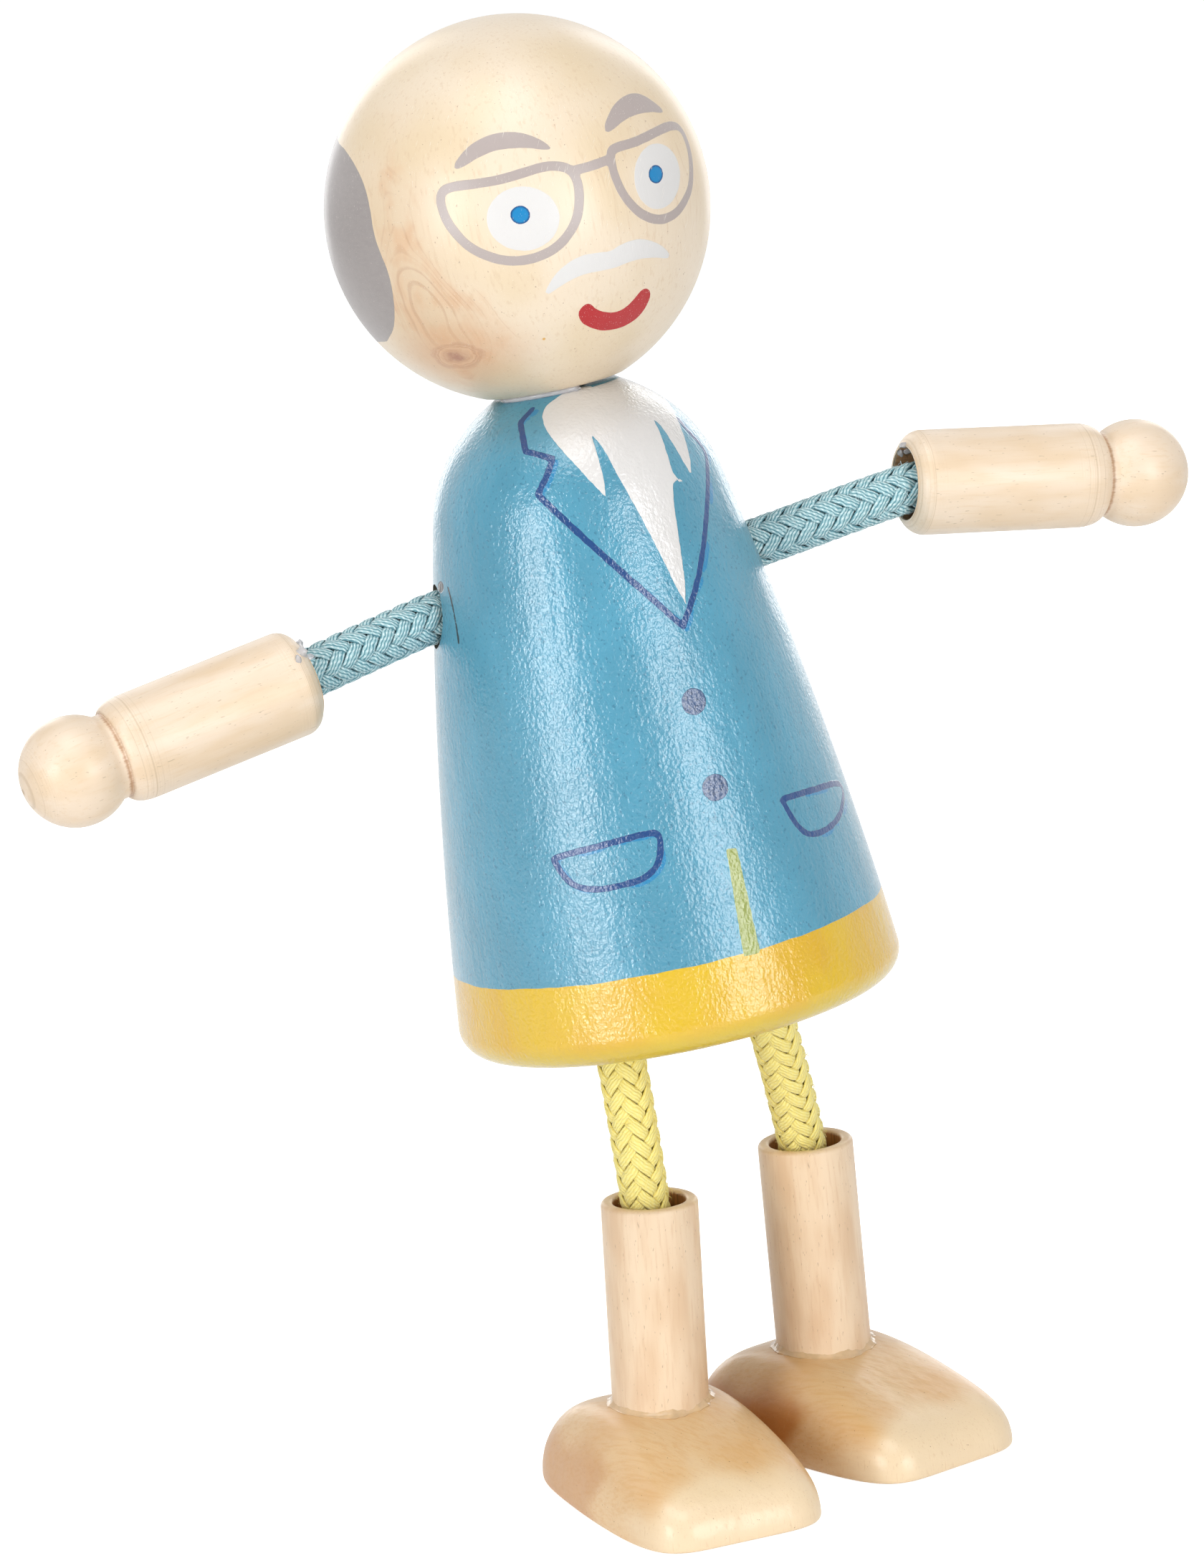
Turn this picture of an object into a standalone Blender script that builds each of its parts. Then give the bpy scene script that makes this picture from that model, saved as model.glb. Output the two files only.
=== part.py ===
"""Wooden bendy doll, built from its turned and shaped pieces.

The doll faces -Y and stands on the floor, with +Z up. A ball head is dowelled on a turned body.
Each limb is a braided cord with a soft steel wire inside, glued into a blind hole in the body.
An arm cord ends in a turned hand, and a leg cord ends in a wooden tube that stands in a shaped foot.
All sizes are in metres, and angles are in degrees.
"""

from math import asin, cos, degrees, pi, radians, sin, sqrt

import bmesh
import bpy
from mathutils import Euler, Quaternion, Vector

# Head
HEAD_DIAMETER = 0.032
HEAD_SEAT_DIAMETER = 0.0114

# Body
BODY_HEIGHT = 0.0538
HEM_DIAMETER = 0.0380
HEM_ROUNDING = 0.0022
CHEST_DIAMETER = 0.0246
CHEST_HEIGHT = 0.0447
FLANK_BULGE = 0.0006
SHOULDER_CORNER_HEIGHT = 0.0506
NECK_DIAMETER = 0.0104

# Neck dowel
NECK_DOWEL_DIAMETER = 0.0050
NECK_DOWEL_LENGTH = 0.0140
NECK_DOWEL_CHAMFER = 0.0006

# Cords and their wires
CORD_DIAMETER = 0.0043
CORD_CORE_DIAMETER = 0.0017
WIRE_DIAMETER = 0.0010
WIRE_SHORTER = 0.0010
ROUTE_STEP = 0.0024
LEG_CORD_SHIFT_AT_MOUTH = 0.0004

# Holes that the cords are glued into
ARM_HOLE_HEIGHT = 0.0374
ARM_HOLE_TURN = 12.0
ARM_HOLE_DEPTH = 0.0090
ARM_HOLE_MOUTH_DIAMETER = 0.0053
ARM_HOLE_MOUTH_DEPTH = 0.0012
LEG_HOLE_SPACING = 0.0138
LEG_HOLE_FORWARD = 0.0009
LEG_HOLE_LEFTWARD = 0.0002
LEG_HOLE_DEPTH = 0.0100
CORD_CLEARANCE = 0.0003
CORD_BEND_DEPTH = 0.0020
HOLE_END_CLEARANCE = 0.0005

# Hands
HAND_LENGTH = 0.0256
HAND_DIAMETER = 0.0089
HAND_BALL_DIAMETER = 0.0092
HAND_GROOVE_DIAMETER = 0.0072
HAND_GROOVE_WIDTH = 0.0007
HAND_END_ROUNDING = 0.0016
HAND_WRIST_ROUNDING = 0.0020
HAND_MOUTH_DIAMETER = 0.0064
HAND_MOUTH_DEPTH = 0.0040
HAND_HOLE_DEPTH = 0.0100

# Leg tubes
TUBE_DIAMETER = 0.0083
TUBE_BORE_DIAMETER = 0.0062
TUBE_LENGTH = 0.0222
TUBE_RIM_ROUNDING = 0.0004
TUBE_GRIP_DEPTH = 0.0080
TUBE_FLOOR = 0.0040

# Feet
FOOT_LENGTH = 0.0283
FOOT_WIDTH = 0.0183
FOOT_HEIGHT = 0.0080
FOOT_HEEL = 0.0108
FOOT_SOCKET_FLOOR = 0.0030

# The foot's cage, in rows from toe to heel, and its top, drawn in from the sole's outline
FOOT_ROW_WIDTH_SHARES = (0.88, 1.0, 1.0, 0.94)
FOOT_ROW_HEIGHT_SHARES = (0.54, 0.88, 1.04, 0.90)
FOOT_TOP_WIDTH_SHARE = 0.71
FOOT_TOP_LENGTH_SHARE = 0.75

# How the body stands
BODY_BASE_HEIGHT = 0.0411
BODY_LEAN_SIDE = 5.8
BODY_LEAN_BACK = 4.5

# How each leg stands: place of the tube, turn of the foot, tilt and lift of the tube in its socket
RIGHT_LEG_OUT = 0.0055
RIGHT_LEG_FORWARD = 0.0010
RIGHT_FOOT_TURN = 0.0
RIGHT_TUBE_TILT = -1.4
RIGHT_TUBE_LIFT = 0.0
LEFT_LEG_OUT = 0.0129
LEFT_LEG_FORWARD = -0.0049
LEFT_FOOT_TURN = 15.0
LEFT_TUBE_TILT = 1.3
LEFT_TUBE_LIFT = 0.0008

# How each arm is held: place of the hand's mouth from the arm hole, its angles, and the cord's sag
RIGHT_HAND_OUT = 0.0127
RIGHT_HAND_FORWARD = 0.0017
RIGHT_HAND_RISE = -0.0020
RIGHT_HAND_DROOP = 7.2
RIGHT_HAND_SWEEP = 0.0
RIGHT_CORD_SAG = -0.0002
LEFT_HAND_OUT = 0.0137
LEFT_HAND_FORWARD = 0.0024
LEFT_HAND_RISE = 0.0021
LEFT_HAND_DROOP = 10.6
LEFT_HAND_SWEEP = 4.5
LEFT_CORD_SAG = 0.0005

RIGHT_LEG_POSE = (RIGHT_LEG_OUT, RIGHT_LEG_FORWARD, RIGHT_FOOT_TURN, RIGHT_TUBE_TILT,
                  RIGHT_TUBE_LIFT)
LEFT_LEG_POSE = (LEFT_LEG_OUT, LEFT_LEG_FORWARD, LEFT_FOOT_TURN, LEFT_TUBE_TILT, LEFT_TUBE_LIFT)
RIGHT_ARM_POSE = (RIGHT_HAND_OUT, RIGHT_HAND_FORWARD, RIGHT_HAND_RISE, RIGHT_HAND_DROOP,
                  RIGHT_HAND_SWEEP, RIGHT_CORD_SAG)
LEFT_ARM_POSE = (LEFT_HAND_OUT, LEFT_HAND_FORWARD, LEFT_HAND_RISE, LEFT_HAND_DROOP,
                 LEFT_HAND_SWEEP, LEFT_CORD_SAG)

# Room between two pieces that touch, and how far a cutter runs past its face
SEAT_GAP = 0.0003
OVERRUN = 0.0010
MERGE_DISTANCE = 0.00001

# Facets of the round pieces
HEAD_SIDES = 40
BODY_SIDES = 48
HAND_SIDES = 28
TUBE_SIDES = 28
HOLE_SIDES = 20
CORD_ROUNDNESS = 3
WIRE_ROUNDNESS = 1
CURVE_POINTS = 10

# Colours as linear red, green, blue
PAINTED_SKIN = (0.86, 0.72, 0.48)
BARE_WOOD = (0.88, 0.74, 0.53)
TUBE_WOOD = (0.82, 0.62, 0.39)
FOOT_WOOD = (0.76, 0.52, 0.25)
COAT_BLUE = (0.16, 0.42, 0.56)
ARM_CORD_TEAL = (0.26, 0.48, 0.52)
LEG_CORD_YELLOW = (0.90, 0.77, 0.10)
WIRE_STEEL = (0.55, 0.55, 0.56)
DOWEL_BEECH = (0.80, 0.60, 0.38)


def clear_scene():
    """Remove every object that the file holds."""
    for thing in list(bpy.data.objects):
        bpy.data.objects.remove(thing, do_unlink=True)


def new_collection(name):
    """Make a collection in the scene."""
    collection = bpy.data.collections.new(name)
    bpy.context.scene.collection.children.link(collection)
    return collection


def material(name, colour, roughness, metallic=0.0):
    """Make a material of one colour and finish."""
    finish = bpy.data.materials.new(name)
    finish.use_nodes = True
    shader = finish.node_tree.nodes["Principled BSDF"]
    shader.inputs["Base Color"].default_value = (*colour, 1.0)
    shader.inputs["Roughness"].default_value = roughness
    shader.inputs["Metallic"].default_value = metallic
    finish.diffuse_color = (*colour, 1.0)
    return finish


def place(thing, collection, frame, finish=None):
    """Link a new object, hang it on its frame and give it its finish."""
    collection.objects.link(thing)
    thing.parent = frame
    if finish:
        thing.data.materials.append(finish)
    return thing


def empty_frame(name, parent, location, rotation=(0.0, 0.0, 0.0)):
    """Make an empty that carries pieces; its rotation is in degrees."""
    frame = bpy.data.objects.new(name, None)
    frame.empty_display_size = HEAD_SEAT_DIAMETER
    bpy.context.scene.collection.objects.link(frame)
    frame.parent = parent
    frame.location = location
    frame.rotation_euler = Euler([radians(angle) for angle in rotation], "XYZ")
    return frame


def arc(centre_x, centre_z, radius, start, end, count=CURVE_POINTS):
    """Points of an arc in the profile plane; angles from +X, in degrees."""
    turns = [radians(start + (end - start) * i / count) for i in range(count + 1)]
    return [(centre_x + radius * cos(turn), centre_z + radius * sin(turn)) for turn in turns]


def bent(start, corner, end, count=CURVE_POINTS):
    """Points of a smooth bend between two profile points, drawn towards a corner point."""
    points = []
    for i in range(count + 1):
        s = i / count
        x, z = ((1.0 - s) ** 2 * a + 2.0 * s * (1.0 - s) * b + s * s * c
                for a, b, c in zip(start, corner, end))
        points.append((x, z))
    return points


def turned(name, profile, sides, collection, frame, finish):
    """Turn a profile about Z; the profile runs down the outside, from the top to the bottom."""
    mesh = bpy.data.meshes.new(name)
    edges = [(i, i + 1) for i in range(len(profile) - 1)]
    mesh.from_pydata([(x, 0.0, z) for x, z in profile], edges, [])
    thing = place(bpy.data.objects.new(name, mesh), collection, frame, finish)
    lathe = thing.modifiers.new("lathe", "SCREW")
    lathe.angle = 2.0 * pi
    lathe.steps = sides
    lathe.render_steps = sides
    lathe.use_merge_vertices = True
    lathe.merge_threshold = MERGE_DISTANCE
    lathe.use_smooth_shade = True
    return thing


def drill(name, target, collection, frame, steps, start, direction):
    """Cut a round stepped hole into a piece.

    steps is a list of (diameter, depth) from the mouth inwards, and direction points into the
    piece. The cutter starts an overrun outside the face.
    """
    profile = [(0.0, OVERRUN), (steps[0][0] / 2.0, OVERRUN)]
    for diameter, depth in steps:
        profile.append((diameter / 2.0, -depth))
    profile.append((0.0, -steps[-1][1]))
    cutter = turned(name, profile, HOLE_SIDES, collection, frame, None)
    cutter.location = start
    half_side = Quaternion((0.0, 0.0, 1.0), pi / HOLE_SIDES)
    cutter.rotation_euler = ((-Vector(direction)).to_track_quat("Z", "Y") @ half_side).to_euler()
    cutter.hide_render = True
    cutter.display_type = "WIRE"
    cut = target.modifiers.new(name, "BOOLEAN")
    cut.operation = "DIFFERENCE"
    cut.object = cutter
    return cutter


def smooth_route(stations):
    """Points along one smooth curve through the places that a cord passes, in order.

    The curve is a chain of cubic spans whose directions follow from each place's neighbours, so
    two places in line along a hole keep the cord straight there.
    """
    ends = [2.0 * stations[0] - stations[1]] + stations + [2.0 * stations[-1] - stations[-2]]
    points = [stations[0]]
    for before, start, end, after in zip(ends, ends[1:], ends[2:], ends[3:]):
        span = (end - start).length
        leave = (end - before) * span / ((start - before).length + span)
        enter = (after - start) * span / ((after - end).length + span)
        count = max(1, round(span / ROUTE_STEP))
        for i in range(1, count + 1):
            s = i / count
            rise = s * s * (3.0 - 2.0 * s)
            leaving = s * (1.0 - s) * (1.0 - s)
            entering = s * s * (s - 1.0)
            points.append(start.lerp(end, rise) + leave * leaving + enter * entering)
    return points


def trimmed(points, trim):
    """The same route with its two ends drawn in by trim."""
    first = points[0] + (points[1] - points[0]).normalized() * trim
    last = points[-1] + (points[-2] - points[-1]).normalized() * trim
    return [first] + points[1:-1] + [last]


def extended(points, length):
    """The same route with its two ends pushed out by length."""
    return trimmed(points, -length)


def route_mesh(name, points, diameter, roundness):
    """A closed round bar along a route, as a mesh."""
    curve = bpy.data.curves.new(name, "CURVE")
    curve.dimensions = "3D"
    curve.bevel_depth = diameter / 2.0
    curve.bevel_resolution = roundness
    curve.use_fill_caps = True
    spline = curve.splines.new("POLY")
    spline.points.add(len(points) - 1)
    for place_on_spline, point in zip(spline.points, points):
        place_on_spline.co = (*point, 1.0)
    bar = bpy.data.objects.new(name + "_route", curve)
    bpy.context.scene.collection.objects.link(bar)
    depsgraph = bpy.context.evaluated_depsgraph_get()
    mesh = bpy.data.meshes.new_from_object(bar.evaluated_get(depsgraph))
    mesh.name = name
    welded = bmesh.new()
    welded.from_mesh(mesh)
    bmesh.ops.remove_doubles(welded, verts=welded.verts, dist=MERGE_DISTANCE)
    welded.to_mesh(mesh)
    welded.free()
    bpy.data.objects.remove(bar, do_unlink=True)
    bpy.data.curves.remove(curve)
    mesh.shade_smooth()
    mesh.set_sharp_from_angle(angle=radians(50.0))
    return mesh


def cord_and_wire(side, limb, points, doll, parts, cutters, finishes):
    """A hollow braided cord, and the wire that lies in it."""
    name = f"{side}_{limb}_cord"
    mesh = route_mesh(name, points, CORD_DIAMETER, CORD_ROUNDNESS)
    cord = place(bpy.data.objects.new(name, mesh), parts, doll, finishes[limb + "_cord"])
    core_mesh = route_mesh(name + "_core", extended(points, OVERRUN), CORD_CORE_DIAMETER,
                           CORD_ROUNDNESS - 1)
    core = place(bpy.data.objects.new(name + "_core", core_mesh), cutters, doll)
    core.hide_render = True
    core.display_type = "WIRE"
    hollow = cord.modifiers.new("core", "BOOLEAN")
    hollow.operation = "DIFFERENCE"
    hollow.object = core
    wire_name = f"{side}_{limb}_wire"
    wire_mesh = route_mesh(wire_name, trimmed(points, WIRE_SHORTER), WIRE_DIAMETER,
                           WIRE_ROUNDNESS)
    place(bpy.data.objects.new(wire_name, wire_mesh), parts, doll, finishes["wire"])


def head_profile():
    """The ball from its crown down to its flat seat, then up and in round the dowel hole."""
    radius = HEAD_DIAMETER / 2.0
    seat = degrees(asin(HEAD_SEAT_DIAMETER / HEAD_DIAMETER))
    hole = NECK_DOWEL_DIAMETER / 2.0 + SEAT_GAP
    depth = NECK_DOWEL_LENGTH / 2.0 + SEAT_GAP
    seat_z = head_seat_z()
    ball = arc(0.0, 0.0, radius, 90.0, seat - 90.0, 2 * CURVE_POINTS)
    ball[0] = (0.0, radius)
    return ball + [(hole, seat_z), (hole, seat_z + depth), (0.0, seat_z + depth)]


def head_seat_z():
    """Height of the head's flat seat below its centre."""
    return -sqrt((HEAD_DIAMETER / 2.0) ** 2 - (HEAD_SEAT_DIAMETER / 2.0) ** 2)


def body_outline():
    """The coat's outside, from the neck over the shoulders and down the flared flank to the hem."""
    neck = (NECK_DIAMETER / 2.0, BODY_HEIGHT)
    chest = Vector((CHEST_DIAMETER / 2.0, CHEST_HEIGHT))
    hem = Vector((HEM_DIAMETER / 2.0, HEM_ROUNDING))
    flank = hem - chest
    outward = Vector((-flank.y, flank.x)).normalized()
    flank_corner = (chest + hem) / 2.0 + outward * 2.0 * FLANK_BULGE
    slope = (flank_corner.x - chest.x) / (chest.y - flank_corner.y)
    shoulder_x = chest.x - slope * (SHOULDER_CORNER_HEIGHT - CHEST_HEIGHT)
    shoulder = bent(neck, (shoulder_x, SHOULDER_CORNER_HEIGHT), chest)
    rim = arc(hem.x - HEM_ROUNDING, HEM_ROUNDING, HEM_ROUNDING, 0.0, -90.0, CURVE_POINTS // 2)
    return shoulder + bent(chest, flank_corner, hem)[1:] + rim[1:]


def body_profile():
    """The body from its dowel hole over the coat's outside to the middle of its base."""
    hole = NECK_DOWEL_DIAMETER / 2.0 + SEAT_GAP
    floor = BODY_HEIGHT - NECK_DOWEL_LENGTH / 2.0 - SEAT_GAP
    inside = [(0.0, floor), (hole, floor), (hole, BODY_HEIGHT)]
    return inside + body_outline() + [(0.0, 0.0)]


def body_radius(height):
    """Radius of the coat's outside at a height above its base."""
    outline = body_outline()
    for (high_x, high_z), (low_x, low_z) in zip(outline, outline[1:]):
        if high_z >= height > low_z:
            return low_x + (high_x - low_x) * (height - low_z) / (high_z - low_z)
    return HEM_DIAMETER / 2.0


def arm_hole(way):
    """Middle of an arm hole's mouth on the coat, and the direction out of the hole."""
    turn = radians(ARM_HOLE_TURN)
    outward = Vector((way * cos(turn), -way * sin(turn), 0.0))
    return outward * body_radius(ARM_HOLE_HEIGHT) + Vector((0.0, 0.0, ARM_HOLE_HEIGHT)), outward


def leg_hole_mouth(way):
    """Middle of a leg hole's mouth in the body's base."""
    return Vector((LEG_HOLE_LEFTWARD + way * LEG_HOLE_SPACING / 2.0, -LEG_HOLE_FORWARD, 0.0))


def build_head_and_body(parts, cutters, body_frame, finishes):
    """The body with its limb holes, the head on top and the dowel between them."""
    body = turned("torso", body_profile(), BODY_SIDES, parts, body_frame, finishes["coat"])
    for side, way in (("right", -1.0), ("left", 1.0)):
        mouth, outward = arm_hole(way)
        hole = CORD_DIAMETER + 2.0 * CORD_CLEARANCE
        steps = [(ARM_HOLE_MOUTH_DIAMETER, ARM_HOLE_MOUTH_DEPTH), (hole, ARM_HOLE_MOUTH_DEPTH),
                 (hole, ARM_HOLE_DEPTH)]
        drill(f"{side}_arm_hole", body, cutters, body_frame, steps, mouth, -outward)
        mouth = leg_hole_mouth(way)
        steps = [(hole, LEG_HOLE_DEPTH)]
        drill(f"{side}_leg_hole", body, cutters, body_frame, steps, mouth, (0.0, 0.0, 1.0))
    dowel_half = NECK_DOWEL_LENGTH / 2.0
    dowel_radius = NECK_DOWEL_DIAMETER / 2.0
    waist = dowel_radius - NECK_DOWEL_CHAMFER
    profile = [(0.0, dowel_half), (waist, dowel_half), (dowel_radius, dowel_half - NECK_DOWEL_CHAMFER),
               (dowel_radius, NECK_DOWEL_CHAMFER - dowel_half), (waist, -dowel_half),
               (0.0, -dowel_half)]
    dowel = turned("neck_dowel", profile, HOLE_SIDES, parts, body_frame, finishes["dowel"])
    dowel.location = (0.0, 0.0, BODY_HEIGHT + SEAT_GAP / 2.0)
    head = turned("head", head_profile(), HEAD_SIDES, parts, body_frame, finishes["skin"])
    head.location = (0.0, 0.0, BODY_HEIGHT + SEAT_GAP - head_seat_z())


def hand_profile():
    """Turned forearm and hand: ball end, groove, rounded forearm, mouth and blind hole.

    The mouth's face is at zero and the ball's end is at the hand's length.
    """
    ball = HAND_BALL_DIAMETER / 2.0
    forearm = HAND_DIAMETER / 2.0
    groove = HAND_GROOVE_DIAMETER / 2.0
    ball_z = HAND_LENGTH - ball
    ball_cut = -degrees(asin(sqrt(ball * ball - groove * groove) / ball))
    groove_z = ball_z - sqrt(ball * ball - groove * groove) - HAND_GROOVE_WIDTH
    wrist_z = groove_z - HAND_WRIST_ROUNDING
    mouth = HAND_MOUTH_DIAMETER / 2.0
    hole = CORD_DIAMETER / 2.0 + CORD_CLEARANCE
    points = arc(0.0, ball_z, ball, 90.0, ball_cut, 12)
    points[0] = (0.0, HAND_LENGTH)
    points.append((groove, groove_z))
    wrist_in = forearm - groove
    for i in range(1, 5):
        turn = radians(90.0 - 90.0 * i / 4)
        points.append((groove + wrist_in * cos(turn), wrist_z + HAND_WRIST_ROUNDING * sin(turn)))
    rounding = HAND_END_ROUNDING
    points += arc(forearm - rounding, rounding, rounding, 0.0, -90.0, 4)
    points += [(mouth, 0.0), (mouth, HAND_MOUTH_DEPTH), (hole, HAND_MOUTH_DEPTH),
               (hole, HAND_HOLE_DEPTH), (0.0, HAND_HOLE_DEPTH)]
    return points


def build_arm(side, way, doll, body_frame, parts, cutters, finishes, pose):
    """One arm: its cord and wire from the body, and the turned hand on its end."""
    out, forward, rise, droop, sweep, sag = pose
    hole, outward = arm_hole(way)
    mouth = hole + Vector((way * out, -forward, rise))
    frame = empty_frame(f"{side}_hand_frame", body_frame, mouth)
    reach = Vector((way * cos(radians(sweep)) * cos(radians(droop)),
                    -sin(radians(sweep)) * cos(radians(droop)), -sin(radians(droop))))
    frame.rotation_euler = reach.to_track_quat("Z", "Y").to_euler()
    turned(f"{side}_hand", hand_profile(), HAND_SIDES, parts, frame, finishes["hand"])
    stations = [
        hole - outward * (ARM_HOLE_DEPTH - HOLE_END_CLEARANCE),
        hole - outward * ARM_HOLE_MOUTH_DEPTH,
        hole,
        mouth - Vector((0.0, 0.0, sag)),
        mouth + reach * HAND_MOUTH_DEPTH,
        mouth + reach * (HAND_HOLE_DEPTH - HOLE_END_CLEARANCE),
    ]
    points = smooth_route([body_frame.matrix_world @ station for station in stations])
    cord_and_wire(side, "arm", points, doll, parts, cutters, finishes)


def tube_profile():
    """Leg tube with its bore: open at the top, with a narrower grip for the cord below."""
    outer = TUBE_DIAMETER / 2.0
    bore = TUBE_BORE_DIAMETER / 2.0
    grip = CORD_DIAMETER / 2.0 + CORD_CLEARANCE
    edge = TUBE_RIM_ROUNDING
    wide_end = TUBE_FLOOR + TUBE_GRIP_DEPTH
    rim = arc(bore + edge, TUBE_LENGTH - edge, edge, 180.0, 90.0, 2)
    rim += arc(outer - edge, TUBE_LENGTH - edge, edge, 90.0, 0.0, 2)
    return [(0.0, TUBE_FLOOR), (grip, TUBE_FLOOR), (grip, wide_end), (bore, wide_end)] + rim + [
        (outer, edge), (outer - edge, 0.0), (0.0, 0.0)]


def foot_mesh(name):
    """Shoe-shaped block from a coarse cage: flat sole, round heel and a toe that slopes down."""
    cage = bmesh.new()
    bmesh.ops.create_cube(cage, size=2.0)
    bmesh.ops.subdivide_edges(cage, edges=cage.edges, cuts=2, use_grid_fill=True)
    middle = FOOT_HEEL - FOOT_LENGTH / 2.0
    for vert in cage.verts:
        across, along, up = vert.co
        row = round((along + 1.0) * 1.5)
        across *= FOOT_ROW_WIDTH_SHARES[row]
        if abs(round(up)) == 1:
            across *= FOOT_TOP_WIDTH_SHARE
            along *= FOOT_TOP_LENGTH_SHARE
            up *= FOOT_ROW_HEIGHT_SHARES[row]
        vert.co = (across * FOOT_WIDTH / 2.0, middle + along * FOOT_LENGTH / 2.0, up * FOOT_HEIGHT)
    mesh = bpy.data.meshes.new(name)
    cage.to_mesh(mesh)
    cage.free()
    return mesh


def build_leg(side, way, doll, body_frame, parts, cutters, finishes, pose):
    """One leg: its cord and wire from the body, the wooden tube and the foot it stands in."""
    out, forward, foot_turn, tilt, lift = pose
    foot_frame = empty_frame(f"{side}_foot_frame", doll, (way * out, -forward, 0.0),
                             (0.0, 0.0, way * foot_turn))
    tube_frame = empty_frame(f"{side}_tube_frame", foot_frame,
                             (0.0, 0.0, FOOT_SOCKET_FLOOR + SEAT_GAP + lift), (0.0, -tilt, 0.0))
    name = f"{side}_foot"
    foot = place(bpy.data.objects.new(name, foot_mesh(name)), parts, foot_frame, finishes["foot"])
    soft = foot.modifiers.new("soft form", "SUBSURF")
    soft.levels = 2
    soft.render_levels = 2
    foot.data.shade_smooth()
    ground = bpy.data.meshes.new(f"{side}_ground_cut")
    slab = bmesh.new()
    bmesh.ops.create_cube(slab, size=2.0 * FOOT_LENGTH)
    bmesh.ops.translate(slab, verts=slab.verts, vec=(0.0, 0.0, -FOOT_LENGTH))
    slab.to_mesh(ground)
    slab.free()
    cutter = place(bpy.data.objects.new(ground.name, ground), cutters, foot_frame)
    cutter.hide_render = True
    cutter.display_type = "WIRE"
    sole = foot.modifiers.new("sole", "BOOLEAN")
    sole.operation = "DIFFERENCE"
    sole.object = cutter
    steps = [(TUBE_DIAMETER + 2.0 * SEAT_GAP, FOOT_HEIGHT + SEAT_GAP)]
    drill(f"{side}_foot_socket", foot, cutters, tube_frame, steps,
          (0.0, 0.0, FOOT_HEIGHT), (0.0, 0.0, -1.0))
    turned(f"{side}_leg_tube", tube_profile(), TUBE_SIDES, parts, tube_frame, finishes["tube"])
    bpy.context.view_layer.update()
    hole = leg_hole_mouth(way)
    upward = Vector((0.0, 0.0, 1.0))
    mouth = upward * TUBE_LENGTH
    shift = Vector((-LEG_CORD_SHIFT_AT_MOUTH, 0.0, 0.0))
    in_body = [hole + upward * (LEG_HOLE_DEPTH - HOLE_END_CLEARANCE),
               hole + upward * CORD_BEND_DEPTH, hole]
    in_tube = [mouth + shift, upward * (TUBE_FLOOR + TUBE_GRIP_DEPTH),
               upward * (TUBE_FLOOR + HOLE_END_CLEARANCE)]
    stations = [body_frame.matrix_world @ station for station in in_body]
    stations += [tube_frame.matrix_world @ station for station in in_tube]
    cord_and_wire(side, "leg", smooth_route(stations), doll, parts, cutters, finishes)


def stand_over_origin(doll, parts):
    """Move the doll so that the middle of its outline, seen from above, is over the origin."""
    bpy.context.view_layer.update()
    depsgraph = bpy.context.evaluated_depsgraph_get()
    places = []
    for piece in parts.objects:
        shape = piece.evaluated_get(depsgraph)
        places += [shape.matrix_world @ vert.co for vert in shape.data.vertices]
    for axis in (0, 1):
        reach = [place_of_vert[axis] for place_of_vert in places]
        doll.location[axis] = -(min(reach) + max(reach)) / 2.0
    bpy.context.view_layer.update()


def main():
    clear_scene()
    parts = new_collection("bendy_doll")
    cutters = new_collection("cutters")
    finishes = {
        "skin": material("painted_head", PAINTED_SKIN, 0.35),
        "coat": material("blue_coat_paint", COAT_BLUE, 0.45),
        "hand": material("lacquered_hand_wood", BARE_WOOD, 0.40),
        "tube": material("bare_leg_wood", TUBE_WOOD, 0.60),
        "foot": material("lacquered_foot_wood", FOOT_WOOD, 0.30),
        "arm_cord": material("teal_cotton_cord", ARM_CORD_TEAL, 0.90),
        "leg_cord": material("yellow_cotton_cord", LEG_CORD_YELLOW, 0.90),
        "wire": material("soft_steel_wire", WIRE_STEEL, 0.35, 1.0),
        "dowel": material("beech_dowel", DOWEL_BEECH, 0.60),
    }
    doll = empty_frame("doll", None, (0.0, 0.0, 0.0))
    body_frame = empty_frame("body_frame", doll, (0.0, 0.0, BODY_BASE_HEIGHT),
                             (-BODY_LEAN_BACK, -BODY_LEAN_SIDE, 0.0))
    bpy.context.view_layer.update()
    build_head_and_body(parts, cutters, body_frame, finishes)
    for side, way, arm_pose, leg_pose in (("right", -1.0, RIGHT_ARM_POSE, RIGHT_LEG_POSE),
                                          ("left", 1.0, LEFT_ARM_POSE, LEFT_LEG_POSE)):
        build_arm(side, way, doll, body_frame, parts, cutters, finishes, arm_pose)
        build_leg(side, way, doll, body_frame, parts, cutters, finishes, leg_pose)
    stand_over_origin(doll, parts)


main()
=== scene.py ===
"""A wooden bendy doll with a painted coat and face, dressed over its CAD frame."""

from math import asin, atan2, cos, degrees, pi, radians, sin, sqrt, tan, tanh

import bmesh
import bpy
import numpy as np
from mathutils import Matrix, Quaternion, Vector, noise
from mathutils.bvhtree import BVHTree
from mathutils.kdtree import KDTree


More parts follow.
